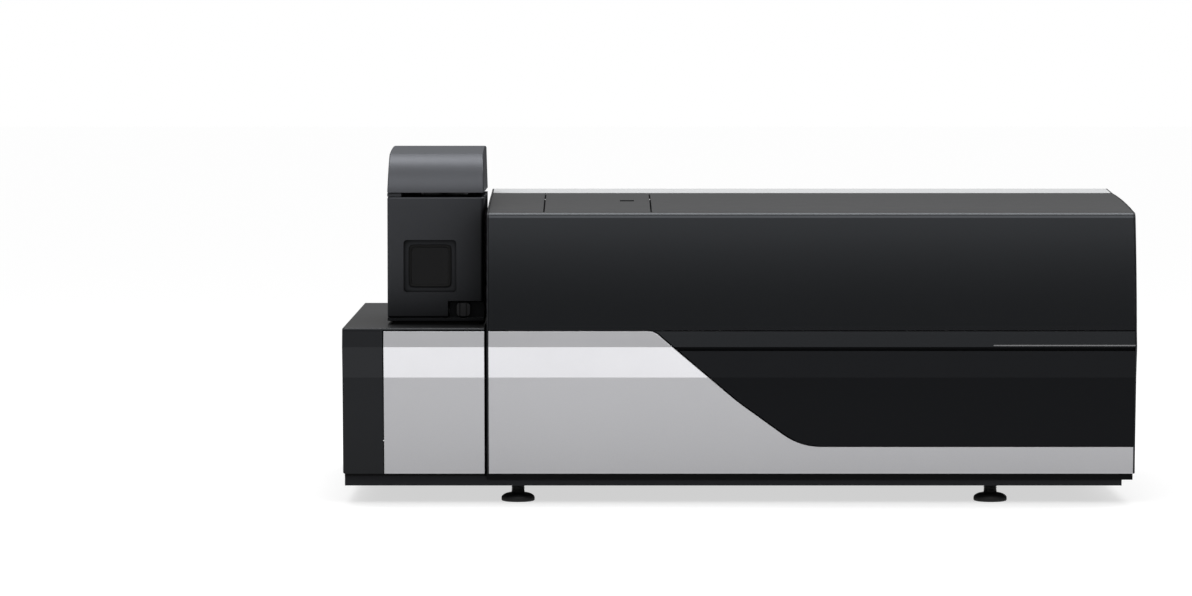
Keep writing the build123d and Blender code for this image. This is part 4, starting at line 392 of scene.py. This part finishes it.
def finish_material(
    name, colour, roughness, metallic=0.0, grain=900.0, grain_depth=0.00001, shade=0.06, marks=0.08,
    dust=0.0, specular=0.5, stretch=None, edge=0.0009, painted_shade=1.0, reach=0.03,
    sheen_tint=(1.0, 1.0, 1.0),
):
    """A finish from the shared groups: colour times grain times painted shade, with dust on top, marks in
    the roughness and grain in the bump. The painted shade darkens the colour near other surfaces, within
    reach. The edge is the radius that corners are softened to."""
    material = bpy.data.materials.new(name)
    material.use_nodes = True
    tree = material.node_tree
    shader = tree.nodes["Principled BSDF"]
    place = tree.nodes.new("ShaderNodeTexCoord").outputs["Object"]
    if stretch is not None:
        mapping = tree.nodes.new("ShaderNodeMapping")
        mapping.inputs["Scale"].default_value = stretch
        tree.links.new(place, mapping.inputs["Vector"])
        place = mapping.outputs["Vector"]
    fine = place_group(tree, shared_group("grain", grain_group), place, Scale=grain, Amount=shade)
    rub = place_group(tree, shared_group("smudge", smudge_group), place, Base=roughness, Amount=marks)
    tint = tree.nodes.new("ShaderNodeVectorMath")
    tint.operation = "SCALE"
    tint.inputs[0].default_value = colour
    # painted shade: the colour is darkened where nearby surfaces hide the open sky within reach, in recesses,
    # seams, under ledges and near the floor
    painted_shade_node = place_group(tree, shared_group("painted_shade", crevice_group), None, Reach=reach, Depth=painted_shade)
    level = math_node(tree, "MULTIPLY", fine.outputs["Shade"], painted_shade_node.outputs["Shade"])
    tree.links.new(level, tint.inputs["Scale"])
    colour_out = tint.outputs[0]
    if dust > 0:
        film = place_group(tree, shared_group("dust", dust_group), place, Amount=dust)
        mix = tree.nodes.new("ShaderNodeMix")
        mix.data_type = "RGBA"
        tree.links.new(film.outputs["Mask"], mix.inputs["Factor"])
        tree.links.new(colour_out, mix.inputs["A"])
        mix.inputs["B"].default_value = DUST_COLOUR
        colour_out = mix.outputs["Result"]
    tree.links.new(colour_out, shader.inputs["Base Color"])
    tree.links.new(rub.outputs["Roughness"], shader.inputs["Roughness"])
    bump = tree.nodes.new("ShaderNodeBump")
    if edge > 0:
        rim = tree.nodes.new("ShaderNodeBevel")
        rim.samples = EDGE_SAMPLES
        rim.inputs["Radius"].default_value = edge
        tree.links.new(rim.outputs["Normal"], bump.inputs["Normal"])
    bump.inputs["Strength"].default_value = 0.5
    bump.inputs["Distance"].default_value = grain_depth
    tree.links.new(fine.outputs["Height"], bump.inputs["Height"])
    tree.links.new(bump.outputs["Normal"], shader.inputs["Normal"])
    shader.inputs["Metallic"].default_value = metallic
    shader.inputs["Specular IOR Level"].default_value = specular
    shader.inputs["Specular Tint"].default_value = (*sheen_tint, 1)
    return material


def silver_paint():
    """Bright metallic paint of the lower front panels, with a weak painted shade that darkens it within 0.22
    m of other surfaces, such as towards the floor.
    """
    return finish_material(
        "silver_paint", bpy.context.scene.spectrometer_finish.silver, 0.28, metallic=0.92, grain=2600.0,
        shade=0.06, marks=0.08, painted_shade=0.5, reach=0.22,
    )


def bright_trim():
    """Drawn metal of the belt's trim, with its grain along the strip."""
    return finish_material(
        "bright_trim", (0.70, 0.70, 0.72), 0.22, metallic=1.0, grain=1500.0, stretch=(0.02, 1, 1),
        shade=0.10, edge=0.0,
    )


def gloss_black():
    """Polished black of the upper front cover and the belt."""
    return finish_material(
        "gloss_black", bpy.context.scene.spectrometer_finish.gloss_black, 0.25, grain=1400.0,
        grain_depth=0.0000008, marks=0.03, dust=0.01, specular=0.75, sheen_tint=(0.88, 0.93, 1.0), edge=0.0,
    )


def satin_black():
    """The gloss black's colour with a flatter sheen, for the lower front."""
    return finish_material(
        "satin_black", bpy.context.scene.spectrometer_finish.gloss_black, 0.34, grain=1400.0,
        grain_depth=0.0000015, marks=0.10, dust=0.01, specular=0.20, sheen_tint=(0.88, 0.92, 1.0),
    )


def charcoal_paint():
    """Satin charcoal of the roof, the ends and the source section's cover, with painted shade that darkens it
    within 0.15 m of other surfaces, such as towards the floor and round the tower's foot.
    """
    return finish_material(
        "charcoal_paint", bpy.context.scene.spectrometer_finish.charcoal, 0.34, grain=1800.0,
        grain_depth=0.00002, shade=0.16, dust=0.03, marks=0.10, specular=0.40,
        sheen_tint=(0.92, 0.95, 1.0), painted_shade=2.0, reach=0.15,
    )


def light_grey_paint():
    """Matt light grey of the rear top cover."""
    return finish_material(
        "light_grey_paint", bpy.context.scene.spectrometer_finish.light_grey, 0.42, grain=1500.0,
        grain_depth=0.00003, shade=0.05, dust=0.08,
    )


def rear_steel():
    """Powder-coated steel of the rear panel."""
    return finish_material(
        "rear_steel", bpy.context.scene.spectrometer_finish.rear_grey, 0.45, grain=1400.0,
        grain_depth=0.00005, shade=0.08,
    )


def black_plastic():
    """Moulded black plastic of sockets, switch, fans and grips."""
    return finish_material(
        "black_plastic", (0.016, 0.016, 0.018), 0.44, grain=1600.0, grain_depth=0.00005, shade=0.12,
        marks=0.14,
    )


def plated_steel():
    """Nickel-plated steel of pins and flanges, with deep painted shade that darkens the pins inside the
    seams.
    """
    return finish_material(
        "plated_steel", (0.60, 0.60, 0.61), 0.26, metallic=1.0, grain=1200.0, shade=0.08, painted_shade=3.0,
    )


def machined_aluminium():
    """Milled aluminium, with its tool marks along X."""
    return finish_material(
        "machined_aluminium", (0.66, 0.67, 0.68), 0.30, metallic=1.0, grain=1500.0, stretch=(0.04, 1, 1),
        shade=0.12,
    )


def fitting_brass():
    """Bare brass of the gas fittings and the contacts."""
    return finish_material(
        "fitting_brass", (0.72, 0.53, 0.26), 0.24, metallic=1.0, grain=1300.0, shade=0.10,
    )


def chassis_steel():
    """Dark phosphated steel of pans and frames."""
    return finish_material(
        "chassis_steel", (0.030, 0.031, 0.035), 0.42, metallic=0.4, grain=1200.0, shade=0.12, specular=0.2,
    )


def black_paint():
    """Matt black of the plinths."""
    return finish_material(
        "black_paint", (0.006, 0.006, 0.007), 0.35, grain=1500.0, grain_depth=0.00003, specular=0.15,
    )


def black_rubber():
    """Rubber of seals, gasket and bezel."""
    return finish_material(
        "black_rubber", (0.012, 0.012, 0.012), 0.62, grain=900.0, grain_depth=0.00006, marks=0.16,
        specular=0.2,
    )


def tower_paint():
    """Metallic grey of the ion source tower and its cap, with painted shade within 0.20 m of other surfaces
    that darkens the tower towards the deck at its foot.
    """
    return finish_material(
        "tower_paint", bpy.context.scene.spectrometer_finish.tower_grey, 0.36, metallic=0.7, grain=2200.0,
        grain_depth=0.00002, shade=0.16, dust=0.02, marks=0.10, painted_shade=2.0, reach=0.20,
        sheen_tint=(0.92, 0.95, 1.0),
    )


def dark_glass():
    """Smoked glass: a clear dark pane with no grain."""
    material = bpy.data.materials.new("dark_glass")
    material.use_nodes = True
    shader = material.node_tree.nodes["Principled BSDF"]
    shader.inputs["Base Color"].default_value = (0.02, 0.02, 0.022, 1)
    shader.inputs["Roughness"].default_value = 0.03
    shader.inputs["Metallic"].default_value = 0.0
    shader.inputs["Transmission Weight"].default_value = 0.6
    shader.inputs["IOR"].default_value = 1.5
    return material


def foot_rubber():
    """Dull black of the levelling feet."""
    return finish_material(
        "foot_rubber", (0.010, 0.010, 0.011), 0.55, grain=1100.0, grain_depth=0.00004, marks=0.16,
    )


MADE = {}


def once(build):
    """A function that builds the material on its first call and returns the same one afterwards."""
    def get():
        if build.__name__ not in MADE:
            MADE[build.__name__] = build()
        return MADE[build.__name__]
    return get


OWN_FINISH = {"lower_front_panel": "satin_black"}

FINISHES = {
    build.__name__: once(build)
    for build in (
        silver_paint, bright_trim, gloss_black, satin_black, charcoal_paint, light_grey_paint, rear_steel,
        black_plastic, plated_steel, machined_aluminium, fitting_brass, chassis_steel, black_paint,
        black_rubber, tower_paint, dark_glass, foot_rubber,
    )
}


# ---- pieces ---------------------------------------------------------------------------------------

class SPECTROMETER_OT_finishes(bpy.types.Operator):
    """Give every solid the finish of its slot"""

    bl_idname = "spectrometer.finishes"
    bl_label = "Finishes"

    def execute(self, context):
        for node, slot in SLOT_OF.items():
            mesh = frame["nodes"][node].data
            mesh.materials.clear()
            mesh.materials.append(FINISHES[OWN_FINISH.get(node, slot)]())
        return {"FINISHED"}


def middle(node):
    """Centre of a solid's box, in metres."""
    low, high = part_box(node)
    return np.array([(a + b) / 2 for a, b in zip(low, high)])


class SPECTROMETER_OT_feet(bpy.types.Operator):
    """Turn the four levelling feet: a pad with a domed top and a threaded stem"""

    bl_idname = "spectrometer.feet"
    bl_label = "Levelling feet"

    def execute(self, context):
        fittings = context.scene.spectrometer_fittings
        for node in [name for name in SLOT_OF if name.startswith(("foot_front", "foot_rear"))]:
            low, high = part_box(node)
            centre = middle(node)
            pad = (high.x - low.x) / 2
            points, faces = threaded_foot(
                centre[0], centre[1], low.z, high.z, pad, fittings.thread_pitch, fittings.thread_depth
            )
            foot = add_mesh(node + "_turned", points, faces, smooth_angle=50)
            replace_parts(settle(foot, BODY_OF[node], SLOT_OF[node]), node)
        return {"FINISHED"}


def threaded_foot(x, y, low, high, pad, pitch, depth, around=36, per_turn=8):
    """Point (i, a) is on a ring of radius r_i at height z_i; on the stem r = R - depth t, where t is the
    distance, in half pitches, of z / pitch - a / turn from the nearest whole number."""
    stem = pad * STEM_SHARE
    outline = np.array((
        (0.02, 0.0), (0.90, 0.0), (0.975, 0.0006), (0.995, 0.0016), (1.0, 0.0026), (1.0, 0.0052),
        (0.99, 0.0064), (0.95, 0.0080), (0.86, 0.0098), (0.74, 0.0113), (0.60, 0.0122), (0.48, 0.0128),
        (0.42, 0.0130),
    ))
    count = int((high - low - PAD_HEIGHT) / pitch * per_turn)
    rise = np.linspace(low + PAD_HEIGHT, high - STEM_TIP, count)
    angle = np.arange(around) * (2 * math.pi / around)
    turn = rise[:, None] / pitch - angle[None, :] / (2 * math.pi)
    valley = 2 * np.abs(turn - np.round(turn))
    fade = np.clip((rise - rise[0]) / (1.5 * pitch), 0, 1) * np.clip((high - rise) / pitch, 0, 1)
    radius = stem - depth * valley * fade[:, None]
    radii = np.concatenate((
        np.repeat(outline[:, :1] * pad, around, axis=1), radius, np.full((1, around), stem * 0.9),
        np.full((1, around), stem * 0.05),
    ))
    heights = np.concatenate((low + outline[:, 1], rise, (high, high)))
    points = np.stack((
        x + radii * np.cos(angle)[None, :],
        y + radii * np.sin(angle)[None, :],
        np.repeat(heights[:, None], around, axis=1),
    ), axis=-1).reshape(-1, 3)
    return points, tube_faces(len(heights), around, closed=False)


class SPECTROMETER_OT_screws(bpy.types.Operator):
    """Set the rear panel's cap screws, each with a hexagon socket"""

    bl_idname = "spectrometer.screws"
    bl_label = "Cap screws"

    def execute(self, context):
        width = context.scene.spectrometer_fittings.socket_width
        low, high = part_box("cover_screws")
        radius = SCREW_HEAD_RADIUS
        heads = [
            socket_head((x, low.y, z), radius, high.y - low.y, width)
            for x in np.linspace(low.x + radius, high.x - radius, SCREWS_PER_ROW)
            for z in (low.z + radius, high.z - radius)
        ]
        screws = add_mesh("cover_screws_turned", *joined(heads), smooth_angle=40)
        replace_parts(settle(screws, BODY_OF["cover_screws"], SLOT_OF["cover_screws"]), "cover_screws")
        return {"FINISHED"}


def socket_head(base, radius, height, width, around=36):
    """Rings of a rounded head; the inner rings are hexagons of radius (width / 2) / cos(a - nearest flat)."""
    angle = np.arange(around) * (2 * math.pi / around)
    flat = angle - np.round(angle / (math.pi / 3)) * (math.pi / 3)
    hexagon = width / 2 / np.cos(flat)
    circle = np.ones(around)
    rings = (
        (circle * radius * 0.98, 0.0), (circle * radius, height * 0.15), (circle * radius, height * 0.7),
        (circle * radius * 0.95, height * 0.92), (circle * radius * 0.86, height), (hexagon * 1.08, height),
        (hexagon, height * 0.96), (hexagon, height * 0.3), (circle * width * 0.1, height * 0.22),
    )
    radii = np.array([ring for ring, lift in rings])
    lifts = np.array([lift for ring, lift in rings])
    points = np.stack((
        base[0] + radii * np.cos(angle),
        base[1] + np.repeat(lifts[:, None], around, axis=1),
        base[2] + radii * np.sin(angle),
    ), axis=-1)
    return points.reshape(-1, 3), tube_faces(len(rings), around, closed=False)


class SPECTROMETER_OT_window_bezel(bpy.types.Operator):
    """Lay the rubber bezel round the sight window"""

    bl_idname = "spectrometer.window_bezel"
    bl_label = "Window bezel"

    def execute(self, context):
        width = context.scene.spectrometer_fittings.bezel_width
        low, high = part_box("sight_window")
        centre = middle("sight_window")
        half = (high.x - low.x) / 2
        points, faces = square_bezel((centre[0], low.y, centre[2]), half, width)
        bezel = add_mesh("window_bezel", points, faces, smooth_angle=60)
        settle(bezel, BODY_OF["sight_window"], "black_rubber")
        return {"FINISHED"}


def square_bezel(centre, half, width, around=96, section=10):
    """A half-round bead carried round a rounded square: the square's point at angle a lies on the
    superellipse |x|^12 + |z|^12 = half^12, and at b the bead stands width (1 + cos b) / 2 outwards and
    0.42 width sin b forwards."""
    a = np.arange(around) * (2 * math.pi / around)
    reach = (np.abs(np.cos(a)) ** 12 + np.abs(np.sin(a)) ** 12) ** (-1 / 12)
    b = np.linspace(0, math.pi, section)
    out = half + width * 0.5 * (1 + np.cos(b))
    forward = width * 0.42 * np.sin(b)
    ring = np.stack((np.cos(a) * reach, np.sin(a) * reach), axis=-1)
    points = np.empty((around, section, 3))
    points[..., 0] = centre[0] + ring[:, None, 0] * out[None]
    points[..., 2] = centre[2] + ring[:, None, 1] * out[None]
    points[..., 1] = centre[1] - forward[None]
    return points.reshape(-1, 3), tube_faces(around, section, closed=True)


class SPECTROMETER_OT_gas_collets(bpy.types.Operator):
    """Push the release collets into the gas fittings"""

    bl_idname = "spectrometer.gas_collets"
    bl_label = "Gas collets"

    def execute(self, context):
        low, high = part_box("gas_fittings")
        radius = (high.z - low.z) / 2
        height = (low.z + high.z) / 2
        profile = (
            (0.0033, -0.006), (0.0046, -0.006), (0.0046, 0.0), (0.0056, 0.0003), (0.0060, 0.0009),
            (0.0056, 0.0015), (0.0040, 0.0016), (0.0034, 0.0011), (0.0033, 0.0),
        )
        rings = [
            ring_of(profile, (x, high.y, height), (0, 1, 0))
            for x in np.linspace(low.x + radius, high.x - radius, COLLETS)
        ]
        collets = add_mesh("gas_collets", *joined(rings), smooth_angle=45)
        settle(collets, BODY_OF["gas_fittings"], "black_plastic")
        return {"FINISHED"}


def ring_of(profile, centre, axis, around=32):
    """A closed outline turned round the axis: point (a, i) is centre + h_i w + r_i (u cos a + v sin a)."""
    u, v, w = axis_frame(axis)
    profile = np.asarray(profile, float)
    angle = np.arange(around) * (2 * math.pi / around)
    spoke = np.cos(angle)[:, None] * u + np.sin(angle)[:, None] * v
    points = np.asarray(centre, float) + profile[None, :, 1, None] * w
    points = points + profile[None, :, 0, None] * spoke[:, None]
    return points.reshape(-1, 3), tube_faces(around, len(profile), closed=True)


class SPECTROMETER_OT_port_seals(bpy.types.Operator):
    """Put a rubber seal into the mouth of each vacuum flange"""

    bl_idname = "spectrometer.port_seals"
    bl_label = "Flange seals"

    def execute(self, context):
        low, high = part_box("vacuum_ports")
        flange = (high.z - low.z) / 2
        height = (low.z + high.z) / 2
        b = np.arange(12) * (2 * math.pi / 12)
        across = flange * SEAL_SHARE + SEAL_WIDTH * np.cos(b)
        bead = np.stack((across, SEAL_THICKNESS * np.sin(b) - SEAL_DEPTH), axis=-1)
        rings = [
            ring_of(bead, (x, high.y, height), (0, 1, 0), around=48)
            for x in (low.x + flange, high.x - flange)
        ]
        seals = add_mesh("flange_seals", *joined(rings), smooth_angle=80)
        settle(seals, BODY_OF["vacuum_ports"], "black_rubber")
        return {"FINISHED"}


class SPECTROMETER_OT_data_contacts(bpy.types.Operator):
    """Fit the spring contacts of the two data sockets"""

    bl_idname = "spectrometer.data_contacts"
    bl_label = "Data contacts"

    def execute(self, context):
        low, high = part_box("data_ports")
        width = (high.x - low.x) / 2.5
        height = (low.z + high.z) / 2
        strips = []
        for centre in (low.x + width / 2, high.x - width / 2):
            for step in np.arange(CONTACTS) - (CONTACTS - 1) / 2:
                x = centre + step * CONTACT_PITCH
                strips.append(contact_strip(x, high.y - CONTACT_SET_BACK, height + CONTACT_RISE))
        contacts = add_mesh("data_contacts", *joined(strips), smooth_angle=30)
        settle(contacts, BODY_OF["data_ports"], "fitting_brass")
        return {"FINISHED"}


def contact_strip(x, y, z, length=0.010, width=0.0005, thick=0.00025):
    """A strip with four corners at each station; its height falls as a quarter sine along its length."""
    along = np.linspace(0, 1, 8)
    centre = np.stack((np.full(8, x), y - along * length, z - 0.0026 * np.sin(along * math.pi / 2)), axis=-1)
    corners = np.array(((-1, -1), (1, -1), (1, 1), (-1, 1))) * (width / 2, thick / 2)
    points = centre[:, None] + np.stack((corners[:, 0], np.zeros(4), corners[:, 1]), axis=-1)[None]
    return points.reshape(-1, 3), tube_faces(8, 4, closed=False)


class SPECTROMETER_OT_stage(bpy.types.Operator):
    """Set the floor, the room's light, the lamps and the camera"""

    bl_idname = "spectrometer.stage"
    bl_label = "Studio"

    def execute(self, context):
        studio = context.scene.spectrometer_studio
        add_floor()
        add_room(context.scene, studio.room_light)
        add_lamp("key_lamp", power=studio.key_power, **KEY_LAMP)
        add_lamp("top_lamp", power=studio.top_power, **TOP_LAMP)
        add_camera(context.scene, studio)
        context.scene.view_settings.view_transform = "Standard"
        return {"FINISHED"}


def add_floor():
    """A pale floor whose glow is seen by camera, mirror and glass rays alone."""
    corners = np.array(((-1, -1, 0), (1, -1, 0), (1, 1, 0), (-1, 1, 0))) * FLOOR_REACH
    mesh = bpy.data.meshes.new("floor")
    mesh.from_pydata(corners, [], [(0, 1, 2, 3)])
    floor = bpy.data.objects.new("floor", mesh)
    bpy.context.scene.collection.objects.link(floor)
    material = bpy.data.materials.new("floor")
    material.use_nodes = True
    tree = material.node_tree
    shader = tree.nodes["Principled BSDF"]
    shader.inputs["Roughness"].default_value = 0.9
    shader.inputs["Specular IOR Level"].default_value = 0.0
    shader.inputs["Emission Color"].default_value = (1, 1, 1, 1)
    facing = tree.nodes.new("ShaderNodeLayerWeight")
    facing.inputs["Blend"].default_value = 0.5
    ramp = level_ramp(tree, facing.outputs["Facing"], FLOOR_MIRROR_LEVELS)
    path = tree.nodes.new("ShaderNodeLightPath")
    tone = tree.nodes.new("ShaderNodeMix")
    tone.data_type = "RGBA"
    tone.inputs["A"].default_value = FLOOR_COLOUR
    tone.inputs["B"].default_value = FLOOR_COLOUR_MIRRORED
    tree.links.new(path.outputs["Is Glossy Ray"], tone.inputs["Factor"])
    tree.links.new(tone.outputs["Result"], shader.inputs["Base Color"])
    mirrored = math_node(tree, "MULTIPLY", path.outputs["Is Glossy Ray"], ramp)
    clear = math_node(tree, "MAXIMUM", path.outputs["Is Camera Ray"], path.outputs["Is Transmission Ray"])
    glow = math_node(tree, "ADD", math_node(tree, "MULTIPLY", clear, FLOOR_GLOW), mirrored)
    tree.links.new(glow, shader.inputs["Emission Strength"])
    mesh.materials.append(material)


def level_ramp(tree, value, stops):
    """A grey ramp through (position, level) stops."""
    ramp = tree.nodes.new("ShaderNodeValToRGB")
    while len(ramp.color_ramp.elements) < len(stops):
        ramp.color_ramp.elements.new(0.5)
    for element, (position, level) in zip(ramp.color_ramp.elements, stops):
        element.position = position
        element.color = (level, level, level, 1)
    tree.links.new(value, ramp.inputs["Fac"])
    return ramp.outputs["Color"]


def add_room(scene, strength):
    """A white background for camera and glass rays, and a room that is darker near the horizon than
    overhead, the more so behind the instrument."""
    world = bpy.data.worlds.new("room")
    world.use_nodes = True
    scene.world = world
    tree = world.node_tree
    background = tree.nodes["Background"]
    place = tree.nodes.new("ShaderNodeTexCoord").outputs["Generated"]
    split = tree.nodes.new("ShaderNodeSeparateXYZ")
    tree.links.new(place, split.inputs[0])
    front = level_ramp(tree, split.outputs["Z"], ROOM_FRONT_LEVELS)
    rear = level_ramp(tree, split.outputs["Z"], ROOM_REAR_LEVELS)
    side = tree.nodes.new("ShaderNodeMapRange")
    side.inputs["From Min"].default_value = -ROOM_SIDE_BLEND
    side.inputs["From Max"].default_value = ROOM_SIDE_BLEND
    tree.links.new(split.outputs["Y"], side.inputs["Value"])
    halves = tree.nodes.new("ShaderNodeMix")
    halves.data_type = "RGBA"
    tree.links.new(side.outputs["Result"], halves.inputs["Factor"])
    tree.links.new(front, halves.inputs["A"])
    tree.links.new(rear, halves.inputs["B"])
    sky = halves.outputs["Result"]
    path = tree.nodes.new("ShaderNodeLightPath")
    lit = tree.nodes.new("ShaderNodeVectorMath")
    lit.operation = "SCALE"
    tree.links.new(sky, lit.inputs[0])
    lit.inputs["Scale"].default_value = strength
    mix = tree.nodes.new("ShaderNodeMix")
    mix.data_type = "RGBA"
    clear = math_node(tree, "MAXIMUM", path.outputs["Is Camera Ray"], path.outputs["Is Transmission Ray"])
    tree.links.new(clear, mix.inputs["Factor"])
    tree.links.new(lit.outputs[0], mix.inputs["A"])
    mix.inputs["B"].default_value = (1, 1, 1, 1)
    tree.links.new(mix.outputs["Result"], background.inputs["Color"])


def add_lamp(name, place, target, size, power):
    """A soft rectangular lamp that faces a point."""
    data = bpy.data.lights.new(name, "AREA")
    data.shape = "RECTANGLE"
    data.size, data.size_y = size
    data.energy = power
    lamp = bpy.data.objects.new(name, data)
    lamp.location = place
    lamp.rotation_euler = (Vector(target) - Vector(place)).to_track_quat("-Z", "Y").to_euler()
    bpy.context.scene.collection.objects.link(lamp)


def add_camera(scene, studio):
    """The camera, level along the front and looking slightly down."""
    data = bpy.data.cameras.new("camera")
    data.lens = studio.lens
    data.sensor_width = 36.0
    camera = bpy.data.objects.new("camera", data)
    camera.location = (studio.side, FRONT_Y - studio.distance, studio.height)
    camera.rotation_euler = (math.pi / 2 - studio.tilt, 0, 0)
    scene.collection.objects.link(camera)
    scene.camera = camera


# ---- panel and registration -----------------------------------------------------------------------

OPERATORS = (
    SPECTROMETER_OT_finishes,
    SPECTROMETER_OT_feet,
    SPECTROMETER_OT_screws,
    SPECTROMETER_OT_window_bezel,
    SPECTROMETER_OT_gas_collets,
    SPECTROMETER_OT_port_seals,
    SPECTROMETER_OT_data_contacts,
    SPECTROMETER_OT_stage,
)


class SPECTROMETER_PT_sidebar(bpy.types.Panel):
    """Lists the operators in the order in which they run"""

    bl_label = "Spectrometer"
    bl_idname = "SPECTROMETER_PT_sidebar"
    bl_space_type = "VIEW_3D"
    bl_region_type = "UI"
    bl_category = "Spectrometer"

    def draw(self, context):
        for operator in OPERATORS:
            self.layout.operator(operator.bl_idname)


def register():
    for kind in (*SETTINGS, *OPERATORS, SPECTROMETER_PT_sidebar):
        bpy.utils.register_class(kind)
    bpy.types.Scene.spectrometer_finish = bpy.props.PointerProperty(type=FinishSettings)
    bpy.types.Scene.spectrometer_fittings = bpy.props.PointerProperty(type=FittingSettings)
    bpy.types.Scene.spectrometer_studio = bpy.props.PointerProperty(type=StudioSettings)


def unregister():
    del bpy.types.Scene.spectrometer_studio
    del bpy.types.Scene.spectrometer_fittings
    del bpy.types.Scene.spectrometer_finish
    for kind in (SPECTROMETER_PT_sidebar, *reversed(OPERATORS), *reversed(SETTINGS)):
        bpy.utils.unregister_class(kind)


def main():
    register()
    bpy.ops.spectrometer.finishes()
    bpy.ops.spectrometer.feet()
    bpy.ops.spectrometer.screws()
    bpy.ops.spectrometer.window_bezel()
    bpy.ops.spectrometer.gas_collets()
    bpy.ops.spectrometer.port_seals()
    bpy.ops.spectrometer.data_contacts()
    bpy.ops.spectrometer.stage()


if __name__ == "__main__":
    main()
